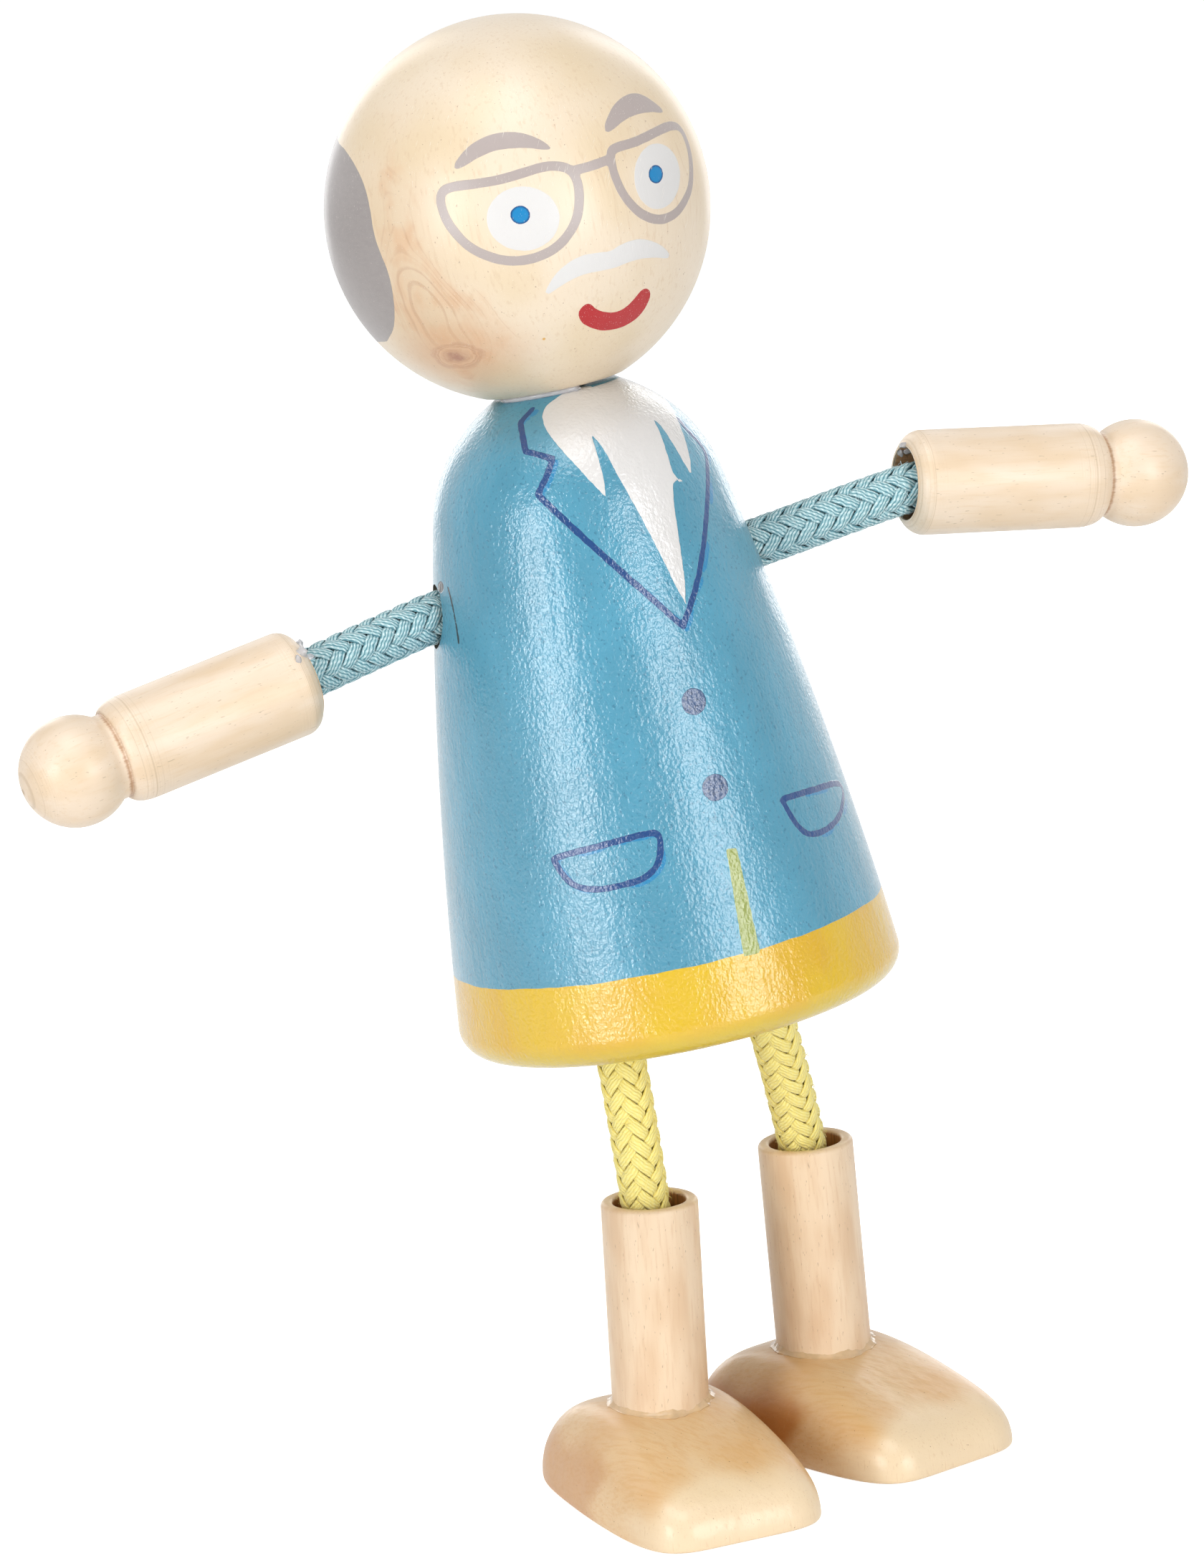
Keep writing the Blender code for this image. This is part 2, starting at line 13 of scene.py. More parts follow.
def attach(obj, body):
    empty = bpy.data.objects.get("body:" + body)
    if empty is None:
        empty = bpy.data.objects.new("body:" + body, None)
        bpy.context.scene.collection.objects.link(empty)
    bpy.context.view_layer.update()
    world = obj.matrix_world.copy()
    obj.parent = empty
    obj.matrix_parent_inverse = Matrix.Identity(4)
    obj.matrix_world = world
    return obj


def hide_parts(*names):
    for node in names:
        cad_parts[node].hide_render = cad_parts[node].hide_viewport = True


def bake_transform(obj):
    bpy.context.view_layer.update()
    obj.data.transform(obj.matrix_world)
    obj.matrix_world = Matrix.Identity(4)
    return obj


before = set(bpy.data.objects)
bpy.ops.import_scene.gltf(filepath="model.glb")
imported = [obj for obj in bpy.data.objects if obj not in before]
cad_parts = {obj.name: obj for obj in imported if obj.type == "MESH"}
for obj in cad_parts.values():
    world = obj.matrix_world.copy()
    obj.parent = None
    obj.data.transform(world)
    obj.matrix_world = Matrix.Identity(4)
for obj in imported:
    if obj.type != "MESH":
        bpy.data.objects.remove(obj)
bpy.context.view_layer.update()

bl_info = {
    "name": "Wooden bendy doll",
    "version": (1, 0, 0),
    "blender": (4, 5, 0),
    "location": "View3D > Sidebar > Bendy doll",
    "description": "Builds a painted wooden doll with bendable braided limbs",
    "category": "Object",
}

MM = 0.001

# Where the pieces are, in metres and degrees, as the CAD has them.
DOLL_PLACE = (0.0031020, -0.0013194, 0.0)
BODY_BASE_HEIGHT = 0.0411
BODY_LEAN_SIDE = 5.8
BODY_LEAN_BACK = 4.5
HEAD_DIAMETER = 0.0320
HEAD_SEAT_DIAMETER = 0.0114
BODY_HEIGHT = 0.0538
HEM_DIAMETER = 0.0380
HEM_ROUNDING = 0.0022
CHEST_DIAMETER = 0.0246
CHEST_HEIGHT = 0.0447
FLANK_BULGE = 0.0006
SHOULDER_CORNER_HEIGHT = 0.0506
NECK_DIAMETER = 0.0104
NECK_DOWEL_DIAMETER = 0.0050
NECK_DOWEL_LENGTH = 0.0140
CORD_DIAMETER = 0.0043
WIRE_DIAMETER = 0.0010
ARM_HOLE_HEIGHT = 0.0374
ARM_HOLE_TURN = 12.0
ARM_HOLE_DEPTH = 0.0090
ARM_HOLE_MOUTH_DIAMETER = 0.0053
ARM_HOLE_MOUTH_DEPTH = 0.0012
LEG_HOLE_SPACING = 0.0138
LEG_HOLE_FORWARD = 0.0009
LEG_HOLE_LEFTWARD = 0.0002
LEG_HOLE_DEPTH = 0.0100
LEG_CORD_SHIFT_AT_MOUTH = 0.0004
CORD_CLEARANCE = 0.0003
CORD_BEND_DEPTH = 0.0020
HOLE_END_CLEARANCE = 0.0005
HAND_LENGTH = 0.0256
HAND_DIAMETER = 0.0089
HAND_BALL_DIAMETER = 0.0092
HAND_GROOVE_DIAMETER = 0.0072
HAND_GROOVE_WIDTH = 0.0007
HAND_END_ROUNDING = 0.0016
HAND_WRIST_ROUNDING = 0.0020
HAND_MOUTH_DIAMETER = 0.0064
HAND_MOUTH_DEPTH = 0.0040
HAND_HOLE_DEPTH = 0.0100
TUBE_DIAMETER = 0.0083
TUBE_BORE_DIAMETER = 0.0062
TUBE_LENGTH = 0.0222
TUBE_RIM_ROUNDING = 0.0004
TUBE_GRIP_DEPTH = 0.0080
TUBE_FLOOR = 0.0040
FOOT_LENGTH = 0.0283
FOOT_WIDTH = 0.0183
FOOT_HEIGHT = 0.0080
FOOT_HEEL = 0.0108
FOOT_SOCKET_FLOOR = 0.0030
FOOT_ROW_WIDTH_SHARES = (0.88, 1.00, 1.00, 0.94)
FOOT_ROW_HEIGHT_SHARES = (0.54, 0.88, 1.04, 0.90)
FOOT_TOP_WIDTH_SHARE = 0.71
FOOT_TOP_LENGTH_SHARE = 0.75
SEAT_GAP = 0.0003
HEAD_LIFT = BODY_HEIGHT + SEAT_GAP + sqrt((HEAD_DIAMETER / 2) ** 2 - (HEAD_SEAT_DIAMETER / 2) ** 2)
# side: way along x, then the hand's out, forward, rise, droop, sweep and the cord's sag
ARMS = {
    "right": (-1.0, 0.0127, 0.0017, -0.0020, 7.2, 0.0, -0.0002),
    "left": (1.0, 0.0137, 0.0024, 0.0021, 10.6, 4.5, 0.0005),
}
# side: way along x, then the foot's out, forward and turn and the tube's tilt and lift
LEGS = {
    "right": (-1.0, 0.0055, 0.0010, 0.0, -1.4, 0.0),
    "left": (1.0, 0.0129, -0.0049, 15.0, 1.3, 0.0008),
}

# Where a depth in paint is kept, in millimetres: well outside every mark.
FAR_OUTSIDE = -2.0
# Vertices nearer than this are one.
WELD = 1e-6
# How far round a mark its depth is worked out.
NEAR_PAINT = 1.5 * MM
DRILL_OVERRUN = 1.2 * MM
SIDES = ("right", "left")

# Sides round the turned forms, and the longest steps down their profiles.
HEAD_SIDES, HEAD_STEP = 560, 0.50 * MM
COAT_SIDES, COAT_STEP = 392, 0.30 * MM
PLAIN_SIDES, PLAIN_STEP = 96, 0.80 * MM
COAT_HIDDEN_STEP = 1.6 * MM
COAT_SHOULDER_POINTS = 30

# The braid: carriers each way, angle to the cord and how its strands ride over each other.
CARRIERS_EACH_WAY = 8
BRAID_ANGLE = 40.0
BRAID_MEAN_RADIUS = 1.76 * MM
BRAID_RISE = 0.20 * MM
BRAID_CORE_RADIUS = 1.50 * MM
# limb: body at its end, slot, braid inside the body and inside its end, fibres and first seed
LIMBS = {
    "arm": ("hand", "teal_cotton_cord", 3.6 * MM, 4.6 * MM, 70, 34),
    "leg": ("lower_leg", "yellow_cotton_cord", 2.4 * MM, 9.0 * MM, 110, 42),
}

# The camera, from the photograph's 1680 x 2188 pixels.
PHOTO_WIDTH, PHOTO_HEIGHT = 1680, 2188
FOCAL_PIXELS = 7600.0
CAMERA_AZIMUTH, CAMERA_DOWN, CAMERA_ROLL = -22.0, 11.5, 4.65
HEAD_FROM_CAMERA = Vector((-0.007008, 0.047622, -0.450605))
# How strongly the white surroundings light the doll; the camera sees them at full white.
WORLD_LIGHT = 0.28

# Painted shapes, in pixels read from the photograph. A point written twice is a corner.
RIGHT_LENS = [
    (614, 281), (616, 268), (627, 261), (660, 257), (698, 251), (734, 240), (763, 231), (786, 232),
    (799, 239), (807, 256), (809, 283), (805, 306), (795, 325), (780, 343), (759, 356), (732, 364),
    (702, 364), (675, 356), (652, 343), (633, 323), (621, 304),
]
LEFT_LENS = [
    (851, 214), (858, 206), (885, 199), (910, 187), (931, 176), (945, 175), (954, 186), (962, 209),
    (965, 235), (964, 260), (956, 281), (943, 299), (922, 308), (899, 302), (880, 286), (865, 264),
    (855, 237),
]
BRIDGE = [(797, 239), (824, 232), (852, 222)]
RIGHT_BROW = [
    (635, 237), (633, 230), (644, 214), (660, 199), (683, 188), (709, 183), (736, 187), (755, 195),
    (769, 205), (767, 209), (755, 209), (736, 206), (713, 207), (690, 210), (667, 220), (648, 232),
]
LEFT_BROW = [
    (846, 186), (843, 178), (847, 165), (855, 147), (870, 134), (885, 129), (901, 134), (916, 145),
    (926, 154), (924, 158), (908, 156), (889, 159), (870, 168), (857, 180),
]
MOUSTACHE = [
    (761, 412), (761, 406), (774, 383), (794, 365), (813, 356), (836, 352), (853, 351), (866, 341),
    (889, 333), (908, 335), (924, 343), (933, 352), (935, 359), (929, 361), (912, 359), (893, 361),
    (874, 367), (855, 375), (832, 379), (813, 383), (794, 392), (778, 402), (767, 410),
]
MOUTH = [
    (806, 436), (815, 425), (824, 423), (830, 431), (843, 436), (859, 436), (874, 429), (887, 415),
    (895, 404), (903, 402), (908, 408), (906, 419), (897, 436), (882, 450), (862, 459), (841, 462),
    (822, 457), (809, 448),
]
HAIR_FRONT = [
    (480, 207), (493, 226), (507, 253), (516, 287), (522, 329), (531, 354), (541, 377), (547, 402),
    (551, 432), (550, 459), (540, 476),
]
RIGHT_EYE = ((730, 305), (51, 45))
LEFT_EYE = ((917, 246), (32, 46))
RIGHT_PUPIL = ((726, 300), (14, 13))
LEFT_PUPIL = ((915, 243), (10, 13))
KNOT = (637, 498)
FACE_MIDDLE = (850, 330)
RIGHT_LAPEL = [
    (743, 571), (743, 571), (726, 589), (726, 589), (730, 614), (734, 630), (734, 630), (771, 640),
    (771, 640), (763, 665), (750, 690), (750, 690), (800, 738), (875, 805), (953, 874), (953, 874),
]
LEFT_LAPEL = [
    (953, 874), (953, 874), (966, 838), (977, 795), (984, 743), (988, 686), (987, 640), (980, 622),
    (960, 602), (946, 584),
]
BEARD = [
    (771, 559), (757, 571), (757, 590), (767, 608), (782, 626), (804, 650), (825, 673), (845, 693),
    (845, 693), (843, 670), (836, 643), (825, 606), (825, 606), (843, 626), (860, 660), (882, 699),
    (904, 739), (930, 791), (947, 825), (957, 843), (957, 843), (956, 812), (951, 778), (945, 734),
    (940, 699), (938, 669), (959, 675), (959, 675), (940, 664), (934, 643), (923, 608), (911, 583),
    (911, 583), (925, 597), (938, 617), (951, 640), (965, 664), (965, 664), (963, 639), (956, 613),
    (947, 589), (936, 565), (921, 548), (904, 537), (878, 528), (860, 522), (834, 528), (804, 539),
    (785, 549),
]
BUTTONS = [((968, 979), (17, 19)), ((998, 1099), (18, 19))]
RIGHT_POCKET = [
    (771, 1197), (843, 1179), (912, 1160), (921, 1167), (922, 1186), (919, 1204), (910, 1217),
    (895, 1228), (869, 1235), (843, 1241), (817, 1241), (797, 1234), (784, 1219), (775, 1204),
]
LEFT_POCKET = [
    (1090, 1115), (1129, 1104), (1168, 1091), (1176, 1098), (1177, 1117), (1172, 1139),
    (1159, 1154), (1142, 1163), (1127, 1165), (1112, 1152), (1101, 1134), (1094, 1121),
]
SLIT = [
    (1013, 1185), (1013, 1185), (1028, 1183), (1028, 1183), (1061, 1329), (1061, 1329),
    (1038, 1335), (1038, 1335),
]
CRACK = [(625, 819), (631, 843), (636, 869), (640, 897)]
CHIPS = [((615, 819), (4, 8)), ((611, 832), (3, 6))]
TEMPLE = (540, 200)
SPECK = (759, 473)

# Other small values of the scene.
UP = Vector((0.0, 0.0, 1.0))
HAIR_NAPE_LIFT, HAIR_CROWN_LIFT = -0.6 * MM, 3.0 * MM
FIRST_LINES_SHIFT = (5, 3)
CRACK_WIDTH = 0.24 * MM
SOLE_EDGE = 0.5 * MM
# How strong the caramel is on each foot: stain, and painted shade where the feet shade each other.
FOOT_STAIN_AND_SHADE = (0.55, 0.95)
FILLET_SIDES = 120
# Out from the tube's wall and up from the foot's top, in millimetres, for a plain bead of glue.
FILLET_SECTION = [(-0.06, 0.50), (0.10, 0.26), (0.24, 0.11), (0.46, 0.02), (0.30, -0.30),
                  (-0.06, -0.30), (-0.06, 0.10)]
# Drops by the hands' mouths: a photograph point, the reach in millimetres and a seed.
GLUE_DROPS = {
    "right": [((418, 901), (0.35, 0.25, 0.45), 3), ((421, 911), (0.50, 0.35, 0.50), 4),
              ((429, 917), (0.55, 0.25, 0.22), 5), ((416, 921), (0.25, 0.20, 0.40), 6)],
    "left": [((1262, 621), (0.50, 0.30, 0.25), 7), ((1256, 630), (0.25, 0.30, 0.45), 8),
             ((1267, 628), (0.40, 0.25, 0.35), 9)],
}
FLOOR_REACH = 4.0
# How strongly the floor shines on the doll, to the camera and in gloss.
FLOOR_GLOW = (0.0, 0.75, 0.40)
SENSOR_HEIGHT = 36.0
# name: angle from the camera's side, elevation, distance, width, height and power
LAMPS = {
    "left_softbox": (-39.0, 9.0, 0.75, 0.20, 0.46, 2.5),
    "right_softbox": (37.0, 9.0, 0.75, 0.26, 0.46, 2.4),
    "top_softbox": (-16.0, 72.0, 0.80, 0.50, 0.45, 2.6),
    "left_rim": (-160.0, 8.0, 0.75, 0.16, 0.90, 0.9),
    "right_rim": (160.0, 8.0, 0.75, 0.16, 0.90, 0.9),
}


def linear(code):
    """Linear colour, with alpha, of an sRGB hex code."""
    parts = [int(code[i:i + 2], 16) / 255.0 for i in (1, 3, 5)]
    return tuple(part / 12.92 if part <= 0.04045 else ((part + 0.055) / 1.055) ** 2.4
                 for part in parts) + (1.0,)


def colour(name, description, code):
    """A colour that a user may change."""
    return bpy.props.FloatVectorProperty(name=name, description=description, subtype="COLOR",
                                         size=4, min=0.0, max=1.0, default=linear(code))


def length(name, description, default):
    """A small length that a user may change, in metres."""
    return bpy.props.FloatProperty(name=name, description=description, default=default,
                                   min=0.0, unit="LENGTH", precision=5)


class DollColours(bpy.types.PropertyGroup):
    """Paints, woods and yarns."""
    coat: colour("Coat", "Blue coat paint", "#519DB9")
    hem: colour("Hem", "Yellow hem paint", "#E0B814")
    line: colour("Line", "Dark blue drawn lines", "#06427F")
    button: colour("Button", "Grey-blue buttons", "#37547E")
    slit: colour("Slit", "Green slit of the coat", "#8F9C40")
    white: colour("White", "White of the beard, moustache and eyes", "#E1DFDD")
    head_wood: colour("Head wood", "Clear varnished wood of the head", "#EDDCC4")
    hair: colour("Hair", "Grey hair paint", "#A09997")
    features: colour("Glasses", "Thin grey paint of the glasses and brows", "#B4A8A4")
    mouth: colour("Mouth", "Red of the mouth", "#B40A14")
    pupil: colour("Pupil", "Blue of the pupils", "#034782")
    hand_wood: colour("Hand wood", "Pale varnished wood of the hands", "#EDD9C1")
    tube_wood: colour("Tube wood", "Bare wood of the leg tubes", "#F1D8B9")
    foot_wood: colour("Foot wood", "Varnished wood of the feet", "#E5C496")
    arm_cord: colour("Arm cord", "Teal braid", "#AFD4D9")
    leg_cord: colour("Leg cord", "Yellow braid", "#FFF296")


class DollSizes(bpy.types.PropertyGroup):
    """Brush strokes, yarns and glue."""
    glasses_stroke: length("Glasses stroke", "Width of the glasses' brush stroke", 0.00078)
    coat_stroke: length("Coat stroke", "Width of the coat's drawn lines", 0.00053)
    pocket_stroke: length("Pocket stroke", "Width of the pockets' drawn lines", 0.00052)
    hem_height: length("Hem height", "Height of the yellow band above the base", 0.0072)
    strand_width: length("Strand width", "Width of a flat strand of the braid", 0.00100)
    strand_thickness: length("Strand thickness", "Thickness of a flat strand", 0.00034)
    glue_bead: length("Glue bead", "Thickness of the glue under the head", 0.00050)


# ---------------------------------------------------------------- places

def frame_of(place, turn=(0.0, 0.0, 0.0)):
    """Matrix of a place and XYZ turns in degrees."""
    turns = [Matrix.Rotation(radians(value), 4, axis) for value, axis in zip(turn, "XYZ")]
    return Matrix.Translation(place) @ turns[2] @ turns[1] @ turns[0]


BODY = frame_of(DOLL_PLACE) @ frame_of((0.0, 0.0, BODY_BASE_HEIGHT),
                                       (-BODY_LEAN_BACK, -BODY_LEAN_SIDE, 0.0))
HEAD = BODY @ Matrix.Translation((0.0, 0.0, HEAD_LIFT))


def photo_camera():
    """Matrix of the camera that took the photograph."""
    azimuth, down, roll = radians(CAMERA_AZIMUTH), radians(CAMERA_DOWN), radians(CAMERA_ROLL)
    ahead = Vector((-sin(azimuth) * cos(down), cos(azimuth) * cos(down), -sin(down)))
    level = Vector((cos(azimuth), sin(azimuth), 0.0))
    upright = level.cross(ahead)
    right = level * cos(roll) - upright * sin(roll)
    up = level * sin(roll) + upright * cos(roll)
    turn = Matrix((right, up, -ahead)).transposed()
    return Matrix.Translation(HEAD.translation - turn @ HEAD_FROM_CAMERA) @ turn.to_4x4()


CAMERA = photo_camera()


def arc(centre_x, centre_z, radius, start, end, count):
    """Points of an arc in the profile plane; angles from +X, in degrees."""
    turns = [radians(start + (end - start) * i / count) for i in range(count + 1)]
    return [(centre_x + radius * cos(turn), centre_z + radius * sin(turn)) for turn in turns]


def bent(start, corner, end, count):
    """Points of a smooth bend between two profile points, drawn towards a corner point."""
    shares = [i / count for i in range(count + 1)]
    return [tuple((1.0 - s) ** 2 * a + 2.0 * s * (1.0 - s) * b + s * s * c
                  for a, b, c in zip(start, corner, end)) for s in shares]


def spaced(profile, step):
    """The same profile with points at most a step apart."""
    points = [profile[0]]
    for (x0, z0), (x1, z1) in zip(profile, profile[1:]):
        count = max(1, round(sqrt((x1 - x0) ** 2 + (z1 - z0) ** 2) / step))
        points += [(x0 + (x1 - x0) * i / count, z0 + (z1 - z0) * i / count)
                   for i in range(1, count + 1)]
    return points


# ---------------------------------------------------------------- meshes

def sealed(form, ends=False):
    """A form with its doubled vertices merged and its faces outward; open ends may be filled."""
    bmesh.ops.remove_doubles(form, verts=form.verts, dist=WELD)
    if ends:
        edges = [edge for edge in form.edges if edge.is_boundary]
        bmesh.ops.holes_fill(form, edges=edges, sides=0)
    bmesh.ops.recalc_face_normals(form, faces=form.faces)
    return form


def turned(profile, sides, place=Matrix.Identity(4)):
    """A closed turned form about Z, from a profile that runs down its outside.

    An eighth is spun and doubled three times, because a full spin of many sides is slow.
    """
    form = bmesh.new()
    verts = [form.verts.new((x, 0.0, z)) for x, z in profile]
    edges = [form.edges.new(pair) for pair in zip(verts, verts[1:])]
    bmesh.ops.spin(form, geom=verts + edges, cent=(0.0, 0.0, 0.0), axis=UP, angle=pi / 4.0,
                   steps=sides // 8, use_merge=False)
    for angle in (pi / 4.0, pi / 2.0, pi):
        geometry = form.verts[:] + form.edges[:] + form.faces[:]
        twin = bmesh.ops.duplicate(form, geom=geometry)["geom"]
        bmesh.ops.rotate(form, cent=(0.0, 0.0, 0.0), matrix=Matrix.Rotation(angle, 3, "Z"),
                         verts=[part for part in twin if isinstance(part, bmesh.types.BMVert)])
    bmesh.ops.transform(sealed(form), matrix=place, verts=form.verts)
    return form


def mesh_from(name, *forms):
    """One mesh of several bmesh forms, which are used up."""
    joined = bmesh.new()
    for form in forms:
        part = bpy.data.meshes.new(name + "_part")
        form.to_mesh(part)
        form.free()
        joined.from_mesh(part)
        bpy.data.meshes.remove(part)
    mesh = bpy.data.meshes.new(name)
    joined.to_mesh(mesh)
    joined.free()
    return mesh


def placed(name, data):
    """A new object for some data, in the scene."""
    thing = bpy.data.objects.new(name, data)
    bpy.context.scene.collection.objects.link(thing)
    return thing


def evaluated(thing):
    """A mesh of an object with its modifiers at work."""
    bpy.context.view_layer.update()
    depsgraph = bpy.context.evaluated_depsgraph_get()
    return bpy.data.meshes.new_from_object(thing.evaluated_get(depsgraph))


def cut(mesh, cutter_mesh):
    """A copy of a mesh with another one cut away from it. Its hollow keeps the cutter's finish."""
    body, cutter = placed("cut_body", mesh), placed("cutter", cutter_mesh)
    hollow = body.modifiers.new("hollow", "BOOLEAN")
    hollow.operation = "DIFFERENCE"
    hollow.object = cutter
    hollow.material_mode = "TRANSFER"
    done = evaluated(body)
    for thing in (body, cutter):
        bpy.data.objects.remove(thing, do_unlink=True)
    return done


def drill_form(steps, mouth, inward, sides=48):
    """A round stepped cutter, from (diameter, depth) pairs from the mouth inwards."""
    profile = [(0.0, DRILL_OVERRUN), (steps[0][0] / 2.0, DRILL_OVERRUN)]
    profile += [(diameter / 2.0, -depth) for diameter, depth in steps]
    profile.append((0.0, -steps[-1][1]))
    turn = (-Vector(inward)).to_track_quat("Z", "Y") @ Quaternion(UP, pi / sides)
    return turned(profile, sides, Matrix.Translation(mouth) @ turn.to_matrix().to_4x4())


def piece(name, mesh, finishes, slot, replaces=(), rides=None, sharp=45.0):
    """An object for a finished mesh, with its finishes and what it stands for in the CAD."""
    mesh.name = name
    mesh.shade_smooth()
    mesh.set_sharp_from_angle(angle=radians(sharp))
    thing = placed(name, mesh)
    if not mesh.materials:
        for finish in finishes:
            mesh.materials.append(finish)
    if rides:
        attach(thing, rides)
    if replaces:
        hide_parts(*replaces)
    return thing


# ---------------------------------------------------------------- painted outlines

def rounded(points, closed):
    """A line of photograph points with its corners cut twice; a point written twice stays."""
    for _ in range(2):
        pairs = list(zip(points, points[1:] + points[:1] if closed else points[1:]))
        cut_points = [] if closed else [points[0]]
        for (x0, y0), (x1, y1) in pairs:
            cut_points += [(0.75 * x0 + 0.25 * x1, 0.75 * y0 + 0.25 * y1),
                           (0.25 * x0 + 0.75 * x1, 0.25 * y0 + 0.75 * y1)]
        points = cut_points if closed else cut_points + [points[-1]]
    return points


def oval(centre, reach, count=32):
    """Points of an oval on the photograph."""
    turns = [2.0 * pi * i / count for i in range(count)]
    return [(centre[0] + reach[0] * cos(turn), centre[1] + reach[1] * sin(turn))
            for turn in turns]


def traced(points, surface, place):
    """Where photograph points lie on a surface, in the frame of that surface."""
    to_surface = place.inverted() @ CAMERA
    eye = to_surface.translation
    found = []
    for x, y in points:
        away = to_surface.to_3x3() @ Vector(((x - PHOTO_WIDTH / 2.0) / FOCAL_PIXELS,
                                             (PHOTO_HEIGHT / 2.0 - y) / FOCAL_PIXELS, -1.0))
        hit = surface.ray_cast(eye, away.normalized())[0]
        if hit is None:
            hit = surface.find_nearest(eye + away * HEAD_FROM_CAMERA.length)[0]
        found.append(hit[:])
    return np.array(found)


def gap_to_line(places, line, closed):
    """Distance of every place from a line, in millimetres."""
    ends = np.roll(line, -1, axis=0) if closed else line[1:]
    points = [line[-1]]
    for start, end in zip(line, ends):
        count = max(1, round(float(np.linalg.norm(end - start)) / (0.03 * MM)))
        points += [start + (end - start) * i / count for i in range(count)]
    tree = KDTree(len(points))
    for index, point in enumerate(points):
        tree.insert(point, index)
    tree.balance()
    return np.array([tree.find(place)[2] for place in places.tolist()]) / MM


def inside(flat, outline):
    """Which flat places lie inside a flat closed outline."""
    within = np.zeros(len(flat), bool)
    x, y = flat[:, 0], flat[:, 1]
    for (x0, y0), (x1, y1) in zip(outline, np.roll(outline, -1, axis=0)):
        if abs(y1 - y0) >= 1e-12:
            within ^= ((y0 > y) != (y1 > y)) & (x < (x1 - x0) * (y - y0) / (y1 - y0) + x0)
    return within


def depth_in(places, line, chart, closed=True, width=None, margin=NEAR_PAINT):
    """How far inside a painted shape, or a stroke of a width, every place is, in millimetres."""
    depth = np.full(len(places), FAR_OUTSIDE)
    low, high = line.min(axis=0) - margin, line.max(axis=0) + margin
    near = np.all((places > low) & (places < high), axis=1)
    gap = gap_to_line(places[near], line, closed)
    if width:
        depth[near] = width / 2.0 / MM - gap
    else:
        depth[near] = np.where(inside(chart(places[near]), chart(line)), gap, -gap)
    return depth


def round_the_body(places):
    """Flat chart of the coat: angle from the front, and height."""
    return np.column_stack((np.arctan2(places[:, 0], -places[:, 1]), places[:, 2]))


def chart_about(middle):
    """Flat chart of the head about a direction: true distances from its middle."""
    middle = np.array(Vector(middle).normalized())
    across = np.cross(middle, (0.0, 0.0, 1.0))
    across /= np.linalg.norm(across)
    up = np.cross(across, middle)

    def flatten(places):
        ways = places / np.linalg.norm(places, axis=1)[:, None]
        turn = np.arccos(np.clip(ways @ middle, -1.0, 1.0))
        flat = np.column_stack((ways @ across, ways @ up))
        return flat * (turn / np.maximum(np.linalg.norm(flat, axis=1), 1e-9))[:, None]

    return flatten


def places_of(mesh):
    """All vertex places of a mesh."""
    places = np.empty(len(mesh.vertices) * 3, np.float32)
    mesh.vertices.foreach_get("co", places)
    return places.reshape(-1, 3).astype(float)


def keep(mesh, name, values):
    """Keep one number a vertex on the mesh, for its finish to read."""
    kept = mesh.attributes.new(name, "FLOAT", "POINT")
    kept.data.foreach_set("value", values.astype(np.float32))


def filled(*shapes):
    """Marks that are painted full: each shape with no stroke's width."""
    return [(shape, True, None) for shape in shapes]


def paint(mesh, surface, place, chart, layers):
    """Keep how far inside the marks of each painted layer every vertex is.

    A mark is photograph points or an oval's centre and reach, whether it is closed, and the width
    of its stroke if it isn't filled.
    """
    places = places_of(mesh)
    for name, marks in layers.items():
        depth = np.full(len(places), FAR_OUTSIDE)
        for points, closed, width in marks:
            points = oval(*points) if len(points) == 2 else rounded(points, closed)
            line = traced(points, surface, place)
            depth = np.maximum(depth, depth_in(places, line, chart, closed, width))
        keep(mesh, name, depth)


# ---------------------------------------------------------------- finishes

def add(tree, kind, inputs=(), out=0, **settings):
    """Add a node with its settings, set or link inputs by order or name, and give an output."""
    node = tree.nodes.new("ShaderNode" + kind)
    for name, value in settings.items():
        setattr(node, name, value)
    for socket, value in inputs.items() if isinstance(inputs, dict) else enumerate(inputs):
        if isinstance(value, bpy.types.NodeSocket):
            tree.links.new(value, node.inputs[socket])
        else:
            node.inputs[socket].default_value = value
    return node.outputs[out]


def finish(name, **settings):
    """A new material with its Principled shader's own values."""
    made = bpy.data.materials.new(name)
    made.use_nodes = True
    shader = made.node_tree.nodes["Principled BSDF"]
    for socket, value in settings.items():
        shader.inputs[socket.replace("_", " ")].default_value = value
    return made.node_tree, shader, made


def set_surface(tree, shader, base, roughness=None, normal=None, gloss=None):
    """Link what changes over the surface. The clear coat may have a normal of its own."""
    tree.links.new(base, shader.inputs["Base Color"])
    if roughness is not None:
        tree.links.new(roughness, shader.inputs["Roughness"])
    if normal is not None:
        tree.links.new(normal, shader.inputs["Normal"])
        tree.links.new(gloss or normal, shader.inputs["Coat Normal"])


def space(tree, place, size=(1.0, 1.0, 1.0)):
    """Object coordinates in a piece's own frame, counted in a size along each axis."""
    at = add(tree, "TexCoord", out="Object")
    return add(tree, "Mapping", {"Vector": at, "Location": place.translation,
                                 "Rotation": place.to_euler(), "Scale": size},
               vector_type="TEXTURE")


def pattern(tree, place, spot, detail=2.0, roughness=0.5):
    """Noise between 0 and 1 in a piece's own frame, whose spots have a size in millimetres."""
    at = space(tree, place, tuple(part * MM for part in spot))
    return add(tree, "TexNoise", {"Vector": at, "Scale": 1.0, "Detail": detail,
                                  "Roughness": roughness})


def wander(tree, place, spot, reach, detail=2.0):
    """Noise in a piece's own frame that goes about as far below zero as above it."""
    return add(tree, "MapRange", (pattern(tree, place, spot, detail), 0.3, 0.7, -reach, reach))


